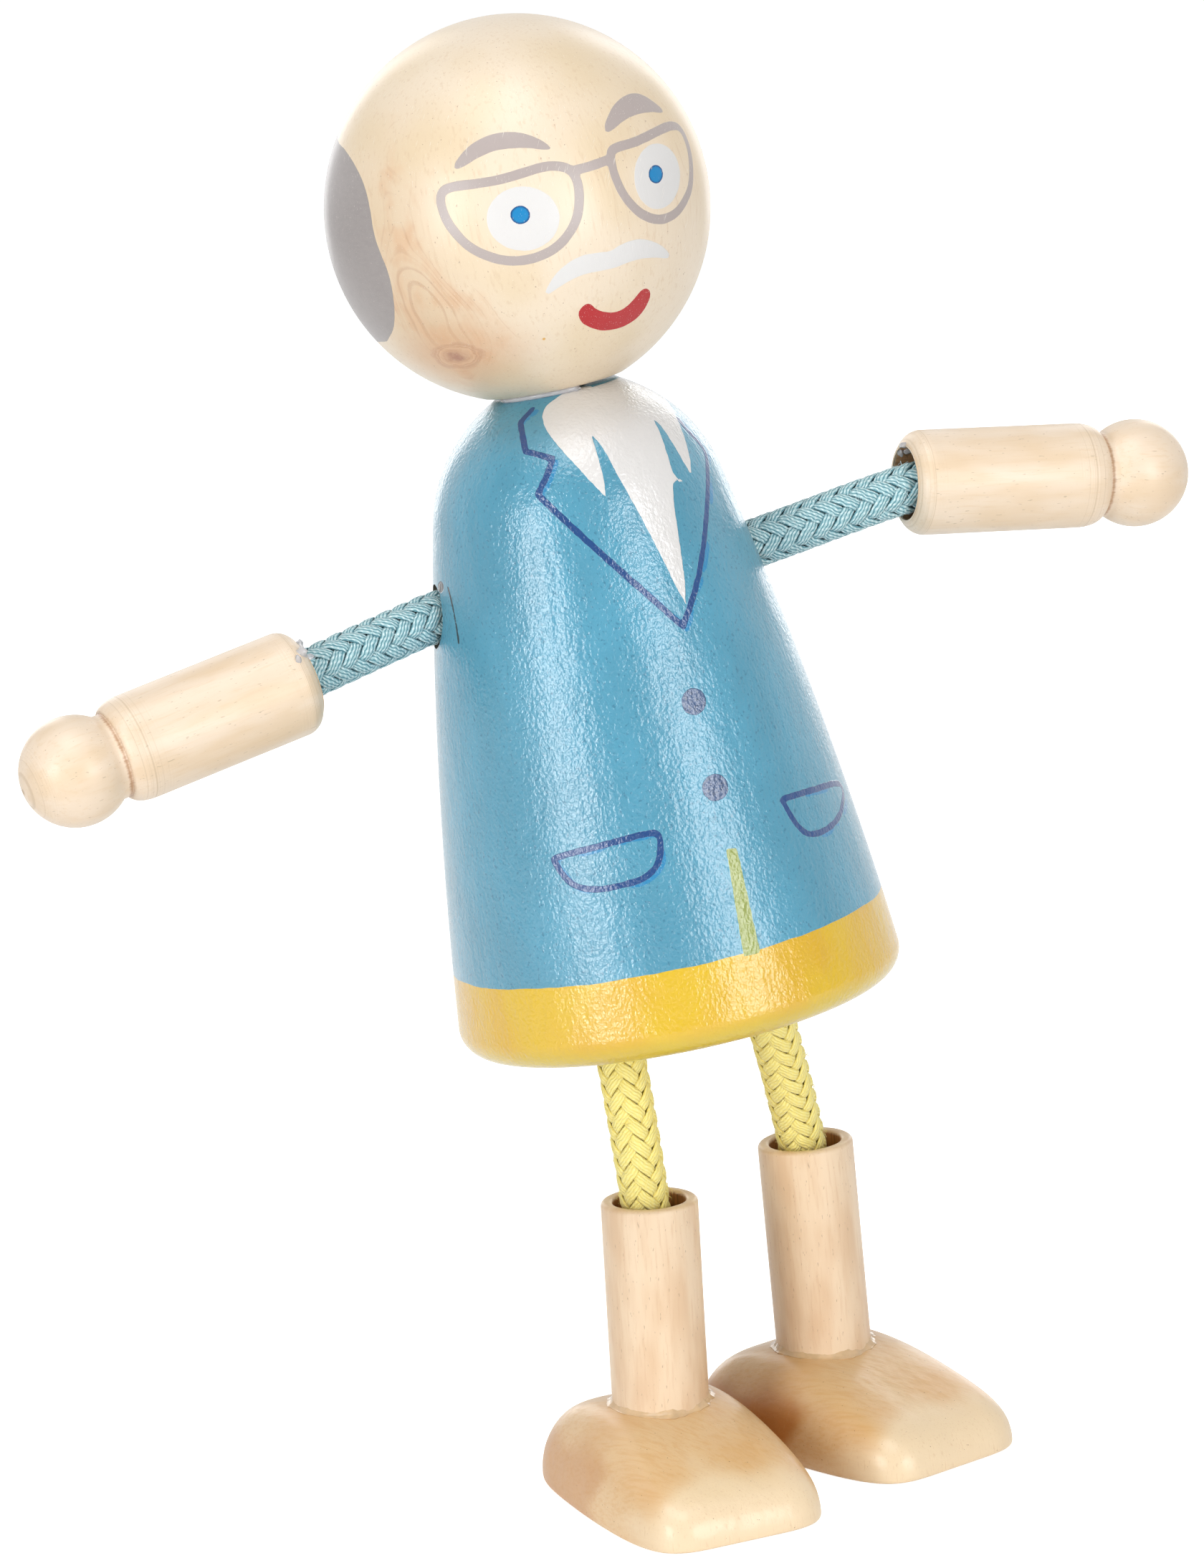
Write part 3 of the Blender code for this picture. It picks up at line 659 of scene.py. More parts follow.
def over(tree, base, tint, value, low, high, most=1.0):
    """A colour with a tint laid over it where a value goes from low to high."""
    share = add(tree, "MapRange", (value, low, high, 0.0, most), interpolation_type="SMOOTHSTEP")
    return add(tree, "Mix", {0: share, 6: base, 7: tint}, 2, data_type="RGBA")


def layered(tree, base, *tints):
    """A colour with tints over it in turn: each a hex code, then a value, low, high and most."""
    for code, *where in tints:
        base = over(tree, base, linear(code), *where)
    return base


def painted(tree, base, tint, name, wobble, soft=0.02):
    """A colour with paint over it where a kept depth is above zero, and the share of paint."""
    depth = add(tree, "Attribute", out="Fac", attribute_name=name)
    depth = add(tree, "Math", (depth, wobble), operation="ADD")
    share = add(tree, "MapRange", (depth, -soft, soft), interpolation_type="SMOOTHSTEP")
    return add(tree, "Mix", {0: share, 6: base, 7: tint}, 2, data_type="RGBA"), share


def bumped(tree, *layers, normal=None):
    """A normal raised by heights in turn: each with a depth in millimetres and a strength.

    A negative depth sinks what is high.
    """
    for height, depth, strength in layers:
        under = {} if normal is None else {"Normal": normal}
        normal = add(tree, "Bump", {"Height": height, "Distance": abs(depth) * MM,
                                    "Strength": strength, **under}, invert=depth < 0.0)
    return normal


def darker(tint, share):
    """A colour made darker by a share, as a plain value."""
    return tuple(part * (1.0 - share) for part in tint[:3]) + (1.0,)


def painted_head_wood(colours, knot, temple, speck):
    """Turned pale maple with flat face paint under a clear satin varnish.

    The eye sees a soft wide highlight, peach growth lines that sweep round one small knot, and
    paint with clean edges.
    """
    tree, shader, made = finish("varnished_maple_head", Coat_Weight=0.22, Coat_Roughness=0.30,
                                IOR=1.5)
    # The growth lines are long ovals, drawn out from the knot towards the temple.
    lean = (temple - knot).to_track_quat("Z", "Y").to_matrix().to_4x4()
    figure = HEAD @ Matrix.Translation(knot.lerp(temple, 0.30)) @ lean
    drift = pattern(tree, HEAD, (8.0, 8.0, 10.0), 1.5)
    reach = add(tree, "VectorMath", (space(tree, figure, (MM, MM, 2.6 * MM)),), "Value",
                operation="LENGTH")
    reach = add(tree, "Math", (drift, 4.5, reach), operation="MULTIPLY_ADD")
    near = add(tree, "MapRange", (reach, 4.0, 13.0, 1.0, 0.12), interpolation_type="SMOOTHSTEP")
    blotch = pattern(tree, HEAD, (2.6, 2.6, 3.6), 3.0)
    # The lines come and go with the blotches.
    fade = add(tree, "MapRange", (blotch, 0.30, 0.66, 0.60, 1.0))
    blotch = add(tree, "Math", (blotch, near), operation="MULTIPLY")
    near = add(tree, "Math", (near, fade), operation="MULTIPLY")
    lines = [add(tree, "TexNoise", {"W": reach, "Scale": scale, "Detail": 2.0},
                 noise_dimensions="1D") for scale in (0.75, 3.2)]
    broad, fine = [add(tree, "Math", (line, near), operation="MULTIPLY") for line in lines]
    # The knot is a small flat oval with rings that follow it.
    round_knot = HEAD @ Matrix.Translation(knot)
    eye = add(tree, "VectorMath", (space(tree, round_knot, (2.2 * MM, 2.2 * MM, 1.2 * MM)),),
              "Value", operation="LENGTH")
    eye = add(tree, "Math", (drift, 0.9, eye), operation="MULTIPLY_ADD")
    ragged = pattern(tree, HEAD, (1.2, 1.2, 0.8), 3.0)
    eye = add(tree, "Math", (ragged, 0.7, eye), operation="MULTIPLY_ADD")
    eye = add(tree, "Math", (eye, 0.35), operation="SUBTRACT")
    rings = add(tree, "TexNoise", {"W": eye, "Scale": 3.0, "Detail": 2.0}, noise_dimensions="1D")
    close = add(tree, "MapRange", (eye, 0.9, 3.4, 1.0, 0.0), interpolation_type="SMOOTHSTEP")
    rings = add(tree, "Math", (rings, close), operation="MULTIPLY")
    streak = pattern(tree, HEAD, (0.30, 0.30, 3.0), 3.0)
    pit = pattern(tree, HEAD, (0.20, 0.20, 0.32), 1.0)
    off = add(tree, "VectorMath", (space(tree, HEAD), speck), "Value", operation="DISTANCE")
    base = layered(
        tree, tuple(colours.head_wood),
        ("#E5D0AF", drift, 0.35, 0.70),
        ("#D9BD98", reach, 10.0, 2.0, 0.75),    # darker wood, low on the cheek
        ("#E0B48A", blotch, 0.38, 0.66, 0.50),
        ("#D2A47C", broad, 0.36, 0.64, 0.48),
        ("#BE8F6C", fine, 0.40, 0.62, 0.36),
        ("#D8AA82", eye, 4.4, 1.0, 0.65),
        ("#B98264", rings, 0.34, 0.60, 0.60),
        ("#A8745F", eye, 1.00, 0.70, 0.75),
        ("#D3B48F", streak, 0.54, 0.72, 0.30),
        ("#A8866A", pit, 0.735, 0.775, 0.60),
        ("#DDA63A", off, 0.16 * MM, 0.10 * MM, 0.9),    # one speck of stray paint
    )
    wobble = wander(tree, HEAD, (1.1, 1.1, 1.1), 0.016)
    brush = pattern(tree, HEAD, (0.9, 0.9, 0.3), 3.0)
    grey = over(tree, tuple(colours.hair), darker(colours.hair, 0.05), brush, 0.4, 0.65)
    layer = 0.0
    for tint, name in ((grey, "hair"), (tuple(colours.features), "features"),
                       (tuple(colours.white), "white_paint"), (tuple(colours.mouth), "mouth"),
                       (tuple(colours.pupil), "pupil")):
        base, share = painted(tree, base, tint, name, wobble)
        layer = add(tree, "Math", (layer, share), operation="MAXIMUM")
    inward = add(tree, "Math", (wobble, 0.12), operation="SUBTRACT")
    base, _ = painted(tree, base, linear("#0384C0"), "pupil", inward, 0.10)
    # Fine scratches in the varnish, coloured near white as painted glints.
    aslant = HEAD @ frame_of((0.0, 0.0, 0.0), (0.0, 34.0, 20.0))
    scratch_glint = add(tree, "MapRange", (pattern(tree, aslant, (0.08, 0.08, 2.6)), 0.66, 0.71))
    base = over(tree, base, linear("#FBF6EC"), scratch_glint, 0.2, 1.0, 0.45)
    # Wood fibres show through the paint, so their bump stays and its edge is thin.
    normal = bumped(tree, (layer, 0.02, 0.6), (streak, 0.035, 0.5), (scratch_glint, -0.015, 0.8))
    rough = add(tree, "MapRange", (blotch, 0.3, 0.6, 0.36, 0.44))
    set_surface(tree, shader, base, rough, normal)
    return made


def coat_paint(colours, sizes):
    """Brushed satin paint on turned wood: blue coat, yellow hem and drawn details.

    The eye sees orange peel that sparkles in the two tall highlights, and slow drift of the blue.
    """
    tree, shader, made = finish("satin_coat_paint", Coat_Weight=1.0, Coat_Roughness=0.16,
                                Coat_IOR=1.65, IOR=1.4)
    height = add(tree, "SeparateXYZ", (space(tree, BODY),), 2)
    drift = pattern(tree, BODY, (5.0, 5.0, 9.0))
    strokes = pattern(tree, BODY, (0.5, 0.5, 4.0), 3.0)
    peel_pit_shade = pattern(tree, BODY, (0.26, 0.26, 0.30), 1.5)
    wobble = wander(tree, BODY, (0.7, 0.7, 0.7), 0.035, 3.0)
    blue = over(tree, darker(colours.coat, 0.12), tuple(colours.coat), drift, 0.3, 0.7)
    # The darkest blue specks are painted shade in the orange peel's pits.
    blue = layered(tree, blue, ("#3F86A6", strokes, 0.58, 0.78, 0.16),
                   ("#2D6C89", peel_pit_shade, 0.60, 0.72, 0.55))
    # The hem's edge waves by about a tenth of a millimetre, and its paint turns greener and
    # darker over the last two millimetres above the base.
    wave = wander(tree, BODY, (4.0, 4.0, 4.0), 0.10 * MM)
    above = add(tree, "Math", (height, wave), operation="ADD")
    yellow = layered(tree, tuple(colours.hem), ("#DCAA10", drift, 0.35, 0.65, 0.7),
                     ("#CDB81E", height, 2.4 * MM, 0.4 * MM, 0.75))
    base = over(tree, blue, yellow, above, sizes.hem_height + 0.03 * MM,
                sizes.hem_height - 0.03 * MM)
    base, _ = painted(tree, base, tuple(colours.slit), "slit", wobble)
    # A first, paler drawing of the lines shows beside some stretches of them.
    slack = pattern(tree, BODY, (3.0, 3.0, 3.0))
    slack = add(tree, "MapRange", (slack, 0.42, 0.56, -0.26, 0.0))
    base, _ = painted(tree, base, linear("#1F86B8"), "first_lines", slack, 0.05)
    # The buttons darken in the same specks: painted shade.
    grey = over(tree, tuple(colours.button), darker(colours.button, 0.35), peel_pit_shade, 0.50, 0.66)
    layer = 0.0
    for tint, name in ((tuple(colours.line), "lines"), (grey, "buttons"),
                       (tuple(colours.white), "beard")):
        base, share = painted(tree, base, tint, name, wobble)
        layer = add(tree, "Math", (layer, share), operation="MAXIMUM")
    base, crack = painted(tree, base, linear("#101820"), "crack", wobble)
    slow = pattern(tree, BODY, (1.3, 1.3, 2.6))
    peel = pattern(tree, BODY, (0.28, 0.28, 0.34), 2.0)
    under = bumped(tree, (slow, 0.09, 1.0), (layer, 0.04, 0.8), (crack, -0.12, 0.8))
    gloss = bumped(tree, (peel, 0.085, 1.0), normal=under)
    normal = bumped(tree, (peel, 0.04, 1.0), normal=under)
    rough = add(tree, "MapRange", (peel, 0.3, 0.7, 0.40, 0.33))
    set_surface(tree, shader, base, rough, normal, gloss)
    return made


def clear_wood(name, place, tint, streak_tint, hollow=None, rings=(), groove=None, **settings):
    """Turned pale wood, with its grain along the piece.

    The eye sees hair-fine streaks, short brown flecks and, at rings (heights), the lathe's marks.
    hollow is (radius, low, high, colour) of a bored hole of raw wood whose inside is coloured
    darker as painted shade, and groove is the height of a narrow cut darkened along it as painted
    shade.
    """
    tree, shader, made = finish(name, IOR=1.5, **settings)
    streak = pattern(tree, place, (0.24, 0.24, 3.2), 4.0, 0.6)
    broad = pattern(tree, place, (2.4, 2.4, 9.0))
    fleck = pattern(tree, place, (0.16, 0.16, 0.60), 1.0)
    at = space(tree, place)
    height = add(tree, "SeparateXYZ", (at,), 2)
    turning = add(tree, "TexNoise", {"W": height, "Scale": 1.0 / (0.16 * MM), "Detail": 2.0},
                  noise_dimensions="1D")
    marks = 0.0
    for ring in rings:
        off = add(tree, "Math", (height, ring), operation="SUBTRACT")
        off = add(tree, "Math", (off,), operation="ABSOLUTE")
        close = add(tree, "MapRange", (off, 0.4 * MM, 2.6 * MM, 1.0, 0.0),
                    interpolation_type="SMOOTHSTEP")
        marks = add(tree, "Math", (turning, close, marks), operation="MULTIPLY_ADD")
    base = tint
    for shade, value, low, high, most in ((streak_tint, broad, 0.40, 0.68, 0.60),
                                          (streak_tint, streak, 0.50, 0.72, 0.45),
                                          (darker(streak_tint, 0.35), fleck, 0.70, 0.76, 0.60),
                                          (darker(streak_tint, 0.22), marks, 0.48, 0.70, 0.50)):
        base = over(tree, base, shade, value, low, high, most)
    # The groove's cut is coloured darker: painted shade.
    if groove:
        off = add(tree, "Math", (height, groove), operation="SUBTRACT")
        off = add(tree, "Math", (off,), operation="ABSOLUTE")
        off = add(tree, "Math", (off, 3.0 * MM), operation="DIVIDE")
        groove_shade = add(tree, "Math", (fleck, -0.10, off), operation="MULTIPLY_ADD")
        base = over(tree, base, linear("#A9794E"), groove_shade, 0.045, -0.060, 0.80)
    # The inside of a bore is coloured darker, and darker again along the streaks: painted shade.
    if hollow:
        radius, low, high, bore_shade = hollow
        reach = add(tree, "VectorMath", (at, (1.0, 1.0, 0.0)), operation="MULTIPLY")
        reach = add(tree, "VectorMath", (reach,), "Value", operation="LENGTH")
        chip = wander(tree, place, (0.7, 0.7, 0.7), 0.10 * MM, 3.0)
        reach = add(tree, "Math", (reach, chip), operation="ADD")
        within = add(tree, "MapRange", (reach, radius + 0.05 * MM, radius - 0.05 * MM))
        for end, inward in ((low, 0.3 * MM), (high, -0.3 * MM)):
            share = add(tree, "MapRange", (height, end, end + inward))
            within = add(tree, "Math", (within, share), operation="MULTIPLY")
        bore_shade = over(tree, bore_shade, darker(bore_shade, 0.45), streak, 0.40, 0.65)
        base = over(tree, base, bore_shade, within, 0.0, 1.0)
    set_surface(tree, shader, base, None, bumped(tree, (streak, 0.04, 0.5), (marks, 0.06, 0.6)))
    return made


def braided_yarn(name, tint, light, deep, contrast):
    """Soft spun cotton yarn, four plied ends to a flat strand.

    The eye sees short slanting glints along every end, painted as highlights on the ridges,
    and darker hollows between strands and where strands run under others, painted as shade.
    """
    tree, shader, made = finish(name, Roughness=0.58, Sheen_Weight=0.35, Sheen_Roughness=0.4,
                                IOR=1.5)
    flat = add(tree, "UVMap", uv_map="yarn")
    along, across = [add(tree, "SeparateXYZ", (flat,), axis) for axis in (0, 1)]
    stray = add(tree, "TexNoise", {"Vector": flat, "Scale": 1.3, "Detail": 2.0})
    stray = add(tree, "MapRange", (stray, 0.3, 0.7, -0.35, 0.35))
    end = add(tree, "Math", (across, 4.0, stray), operation="MULTIPLY_ADD")
    ridge = add(tree, "Math", (end, pi), operation="MULTIPLY")
    ridge = add(tree, "Math", (ridge,), operation="SINE")
    ridge = add(tree, "Math", (ridge,), operation="ABSOLUTE")
    # An end turns about once every 0.5 mm.
    twist = add(tree, "Math", (along, 2.0 * pi / 0.5), operation="MULTIPLY")
    twist = add(tree, "Math", (end, 2.6, twist), operation="MULTIPLY_ADD")
    twist = add(tree, "Math", (twist,), operation="SINE")
    twist = add(tree, "MapRange", (twist, -1.0, 1.0, 0.60, 1.0))
    height = add(tree, "Math", (ridge, twist), operation="MULTIPLY")
    fibre = add(tree, "VectorMath", (flat, (2.5, 40.0, 1.0)), operation="MULTIPLY")
    fibre = add(tree, "TexNoise", {"Vector": fibre, "Scale": 1.0, "Detail": 3.0})
    shade = add(tree, "MapRange", (fibre, 0.3, 0.7, 0.80, 1.05))
    shade = add(tree, "Math", (height, shade), operation="MULTIPLY")
    buried = add(tree, "Attribute", out="Fac", attribute_name="buried")
    # light is a painted highlight on the ridges; deep is painted shade in the hollows, under
    # crossing strands and on the core.
    base = layered(tree, tint, (deep, shade, 0.55, 0.12, contrast),
                   (light, shade, 0.66, 0.92, contrast), (deep, buried, 0.20, 1.0, 0.7 * contrast))
    set_surface(tree, shader, base, None, bumped(tree, (height, 0.07, 0.9), (fibre, 0.02, 0.6)))
    return made


def drawn_steel():
    """Soft bright wire. The eye sees faint lengthwise drawing marks."""
    tree, shader, made = finish("drawn_steel_wire", Metallic=1.0)
    marks = pattern(tree, BODY, (0.1, 0.1, 3.0), 3.0)
    base = over(tree, linear("#9B9C9E"), linear("#BDBEC0"), marks, 0.3, 0.7)
    set_surface(tree, shader, base, add(tree, "MapRange", (marks, 0.3, 0.7, 0.28, 0.42)))
    return made


def hardened_glue(name, tint, clearness):
    """Hot glue, more or less clear. The eye sees small glassy beads with white glints."""
    tree, shader, made = finish(name, Roughness=0.14, IOR=1.48, Transmission_Weight=clearness)
    cloud = pattern(tree, BODY, (0.8, 0.8, 0.8))
    base = over(tree, tint, darker(tint, 0.10), cloud, 0.35, 0.65)
    set_surface(tree, shader, base, None, bumped(tree, (cloud, 0.10, 0.6)))
    return made


def foot_varnish(side, colours, stain_and_shade):
    """Thick clear varnish on shaped beech.

    The eye sees a wet highlight, a toe made pale as painted light, and caramel low on the sides,
    partly end grain that drinks the varnish and partly painted shade.
    """
    place = foot_frame(side)
    tree, shader, made = finish(f"varnished_{side}_foot_beech", Roughness=0.42, Coat_Weight=0.35,
                                Coat_Roughness=0.22, IOR=1.5)
    at = space(tree, place)
    across, along, height = [add(tree, "SeparateXYZ", (at,), axis) for axis in range(3)]
    grain = pattern(tree, place @ frame_of((0.0, 0.0, 0.0), (0.0, 0.0, 28.0)),
                    (0.30, 3.4, 0.30), 4.0, 0.6)
    broad = pattern(tree, place, (6.0, 9.0, 6.0), 1.0)
    streak = pattern(tree, place, (0.16, 0.16, 1.2), 3.0)
    fleck = pattern(tree, place, (0.20, 0.30, 0.20), 1.0)
    dent = pattern(tree, place, (2.6, 4.0, 2.6))
    drift = add(tree, "MapRange", (broad, 0.3, 0.7, -2.4 * MM, 2.4 * MM))
    aside = add(tree, "Math", (across,), operation="ABSOLUTE")
    aside = add(tree, "Math", (aside, drift), operation="ADD")
    ahead = add(tree, "Math", (along, drift), operation="ADD")
    # The caramel lies low on both sides of the foot, and not at the toe: partly the wood's stain,
    # partly painted shade.
    caramel = 1.0
    for value, start, end in ((aside, 3.0, 8.0), (height, 8.5, 3.0), (ahead, -9.0, -4.5)):
        share = add(tree, "MapRange", (value, start * MM, end * MM),
                    interpolation_type="SMOOTHSTEP")
        caramel = add(tree, "Math", (caramel, share), operation="MULTIPLY")
    base = layered(
        tree, tuple(colours.foot_wood),
        ("#DDB27C", grain, 0.40, 0.70, 0.7),
        ("#D9A568", broad, 0.35, 0.80, 0.45),
        ("#C0803F", caramel, 0.0, 1.0, stain_and_shade),
        # The toe is made paler on its front: painted light.
        ("#F0D9B6", ahead, -10.5 * MM, -15.5 * MM, 0.95),
        ("#CFA678", streak, 0.56, 0.74, 0.30),
        ("#8A5A36", fleck, 0.755, 0.785, 0.6),
    )
    set_surface(tree, shader, base, None, bumped(tree, (grain, 0.04, 0.4), (dent, 0.30, 0.6)))
    return made


# ---------------------------------------------------------------- turned pieces

def head_profile():
    """The ball from its crown down to its flat seat, then in round the dowel hole."""
    radius = HEAD_DIAMETER / 2.0
    seat = degrees(asin(HEAD_SEAT_DIAMETER / HEAD_DIAMETER))
    hole = NECK_DOWEL_DIAMETER / 2.0 + SEAT_GAP
    seat_z = BODY_HEIGHT + SEAT_GAP - HEAD_LIFT
    depth = seat_z + NECK_DOWEL_LENGTH / 2.0 + SEAT_GAP
    ball = arc(0.0, 0.0, radius, 90.0, seat - 90.0, 140)
    ball[0] = (0.0, radius)
    soft = [(ball[-1][0] - 0.25 * MM, seat_z)]
    return ball[:-1] + soft + [(hole, seat_z), (hole, depth), (0.0, depth)]


def coat_outline():
    """The coat's outside, from the neck over the shoulders and down the flared flank."""
    count = COAT_SHOULDER_POINTS
    neck = (NECK_DIAMETER / 2.0, BODY_HEIGHT)
    chest = Vector((CHEST_DIAMETER / 2.0, CHEST_HEIGHT))
    hem = Vector((HEM_DIAMETER / 2.0, HEM_ROUNDING))
    flank = hem - chest
    outward = Vector((-flank.y, flank.x)).normalized()
    corner = (chest + hem) / 2.0 + outward * 2.0 * FLANK_BULGE
    slope = (corner.x - chest.x) / (chest.y - corner.y)
    shoulder_x = chest.x - slope * (SHOULDER_CORNER_HEIGHT - CHEST_HEIGHT)
    shoulder = bent(neck, (shoulder_x, SHOULDER_CORNER_HEIGHT), chest, count)
    rim = arc(hem.x - HEM_ROUNDING, HEM_ROUNDING, HEM_ROUNDING, 0.0, -90.0, count // 3)
    return shoulder + bent(chest, corner, hem, 3 * count)[1:] + rim[1:]


def coat_radius(height):
    """Radius of the coat's outside at a height above its base."""
    outline = coat_outline()
    for (high_x, high_z), (low_x, low_z) in zip(outline, outline[1:]):
        if high_z >= height > low_z:
            return low_x + (high_x - low_x) * (height - low_z) / (high_z - low_z)
    return HEM_DIAMETER / 2.0


def hand_profile():
    """Turned forearm and hand: ball, groove, rounded wrist, forearm, mouth and blind hole."""
    ball = HAND_BALL_DIAMETER / 2.0
    forearm = HAND_DIAMETER / 2.0
    groove = HAND_GROOVE_DIAMETER / 2.0
    ball_z = HAND_LENGTH - ball
    ball_cut = -degrees(asin(sqrt(ball * ball - groove * groove) / ball))
    groove_z = ball_z - sqrt(ball * ball - groove * groove) - HAND_GROOVE_WIDTH
    wrist_z = groove_z - HAND_WRIST_ROUNDING
    mouth = HAND_MOUTH_DIAMETER / 2.0
    hole = CORD_DIAMETER / 2.0 + CORD_CLEARANCE
    points = arc(0.0, ball_z, ball, 90.0, ball_cut, 40)
    # The lathe leaves a small flat with a shallow ring on the ball's end.
    points[0] = (0.0, HAND_LENGTH - 0.05 * MM)
    points.insert(1, (0.35 * MM, HAND_LENGTH - 0.04 * MM))
    points += [(groove, groove_z + 0.3 * MM), (groove, groove_z)]
    wrist_in = forearm - groove
    for i in range(1, 13):
        turn = radians(90.0 - 90.0 * i / 12)
        points.append((groove + wrist_in * cos(turn), wrist_z + HAND_WRIST_ROUNDING * sin(turn)))
    rounding = HAND_END_ROUNDING
    points += arc(forearm - rounding, rounding, rounding, 0.0, -80.0, 12)
    points += [(mouth + 0.12 * MM, 0.0), (mouth, 0.18 * MM), (mouth, HAND_MOUTH_DEPTH),
               (hole, HAND_MOUTH_DEPTH), (hole, HAND_HOLE_DEPTH), (0.0, HAND_HOLE_DEPTH)]
    return spaced(points, PLAIN_STEP)


def tube_profile():
    """Leg tube with its stepped bore, open at the top."""
    outer = TUBE_DIAMETER / 2.0
    bore = TUBE_BORE_DIAMETER / 2.0
    grip = CORD_DIAMETER / 2.0 + CORD_CLEARANCE
    edge = TUBE_RIM_ROUNDING
    wide_end = TUBE_FLOOR + TUBE_GRIP_DEPTH
    rim = arc(bore + edge, TUBE_LENGTH - edge, edge, 180.0, 90.0, 5)
    rim += arc(outer - edge, TUBE_LENGTH - edge, edge, 90.0, 0.0, 5)
    return spaced([(0.0, TUBE_FLOOR), (grip, TUBE_FLOOR), (grip, wide_end), (bore, wide_end)] +
                  rim + [(outer, edge), (outer - edge, 0.0), (0.0, 0.0)], PLAIN_STEP)


def arm_hole(way):
    """Middle of an arm hole's mouth on the coat, and the way out of the hole."""
    turn = radians(ARM_HOLE_TURN)
    outward = Vector((way * cos(turn), -way * sin(turn), 0.0))
    return outward * coat_radius(ARM_HOLE_HEIGHT) + UP * ARM_HOLE_HEIGHT, outward


def hand_frame(side):
    """Frame of a hand, its mouth at zero and its ball along +Z; then, in the body's frame, the
    arm hole's mouth, the hand's mouth and the way along the hand."""
    way, out, forward, rise, droop, sweep = ARMS[side][:6]
    hole = arm_hole(way)[0]
    mouth = hole + Vector((way * out, -forward, rise))
    reach = Vector((way * cos(radians(sweep)) * cos(radians(droop)),
                    -sin(radians(sweep)) * cos(radians(droop)), -sin(radians(droop))))
    turn = reach.to_track_quat("Z", "Y").to_matrix().to_4x4()
    return BODY @ Matrix.Translation(mouth) @ turn, hole, mouth, reach


def foot_frame(side):
    """Frame of a foot, with its tube's middle at zero and the toe along -Y."""
    way, out, forward, turn = LEGS[side][:4]
    return frame_of(DOLL_PLACE) @ frame_of((way * out, -forward, 0.0), (0.0, 0.0, way * turn))


def tube_frame(side):
    """Frame of a leg tube: its foot end at zero and its mouth along +Z."""
    tilt, lift = LEGS[side][4:]
    return foot_frame(side) @ frame_of((0.0, 0.0, FOOT_SOCKET_FLOOR + SEAT_GAP + lift),
                                       (0.0, -tilt, 0.0))


def leg_hole_mouth(way):
    """Middle of a leg hole's mouth in the body's base."""
    return Vector((LEG_HOLE_LEFTWARD + way * LEG_HOLE_SPACING / 2.0, -LEG_HOLE_FORWARD, 0.0))


# ---------------------------------------------------------------- cords

def smooth_route(stations, step=0.2 * MM):
    """Points along one smooth curve through the places that a cord passes, in order."""
    ends = [2.0 * stations[0] - stations[1]] + stations + [2.0 * stations[-1] - stations[-2]]
    points = [stations[0]]
    for before, start, end, after in zip(ends, ends[1:], ends[2:], ends[3:]):
        span = (end - start).length
        leave = (end - before) * span / ((start - before).length + span)
        enter = (after - start) * span / ((after - end).length + span)
        count = max(1, round(span / step))
        for i in range(1, count + 1):
            s = i / count
            rise = s * s * (3.0 - 2.0 * s)
            leaving = s * (1.0 - s) * (1.0 - s)
            entering = s * s * (s - 1.0)
            points.append(start.lerp(end, rise) + leave * leaving + enter * entering)
    return points


class Route:
    """A cord's centre line with directions that turn with it, measured from its body end."""

    def __init__(self, stations):
        points = smooth_route(stations)
        self.lengths = [0.0]
        for start, end in zip(points, points[1:]):
            self.lengths.append(self.lengths[-1] + (end - start).length)
        self.points = points
        self.ways = [(after - before).normalized() for before, after in
                     zip([points[0]] + points[:-1], points[1:] + [points[-1]])]
        side = self.ways[0].orthogonal().normalized()
        self.sides = []
        for way in self.ways:
            side = (side - way * side.dot(way)).normalized()
            self.sides.append(side)

    def length_at(self, place):
        """Length along the route at its point nearest to a place."""
        nearest = min(range(len(self.points)),
                      key=lambda i: (self.points[i] - place).length_squared)
        return self.lengths[nearest]

    def point(self, along, turn=0.0, radius=0.0):
        """A place at a length along the route, at an angle and a distance from its middle."""
        along = min(max(along, self.lengths[0]), self.lengths[-1] - 1e-9)
        low, high = 0, len(self.lengths) - 1
        while high - low > 1:
            middle = (low + high) // 2
            low, high = (middle, high) if self.lengths[middle] <= along else (low, middle)
        share = (along - self.lengths[low]) / (self.lengths[high] - self.lengths[low])
        centre = self.points[low].lerp(self.points[high], share)
        side = self.sides[low].lerp(self.sides[high], share)
        up = self.ways[low].lerp(self.ways[high], share).cross(side)
        return centre + (side * cos(turn) + up * sin(turn)) * radius


def limb_route(side, limb):
    """The route of a limb's cord, and the places where its bare stretch starts and ends."""
    if limb == "arm":
        place, hole, mouth, reach = hand_frame(side)
        outward = arm_hole(ARMS[side][0])[1]
        sag = ARMS[side][-1]
        stations = [hole - outward * (ARM_HOLE_DEPTH - HOLE_END_CLEARANCE),
                    hole - outward * ARM_HOLE_MOUTH_DEPTH, hole,
                    mouth - UP * sag, mouth + reach * HAND_MOUTH_DEPTH,
                    mouth + reach * (HAND_HOLE_DEPTH - HOLE_END_CLEARANCE)]
        stations = [BODY @ station for station in stations]
    else:
        hole = leg_hole_mouth(LEGS[side][0])
        tube = tube_frame(side)
        shift = Vector((-LEG_CORD_SHIFT_AT_MOUTH, 0.0, 0.0))
        stations = [BODY @ (hole + UP * (LEG_HOLE_DEPTH - HOLE_END_CLEARANCE)),
                    BODY @ (hole + UP * CORD_BEND_DEPTH), BODY @ hole,
                    tube @ (UP * TUBE_LENGTH + shift),
                    tube @ (UP * (TUBE_FLOOR + TUBE_GRIP_DEPTH)),
                    tube @ (UP * (TUBE_FLOOR + HOLE_END_CLEARANCE))]
    return Route(stations), stations[2], stations[3]


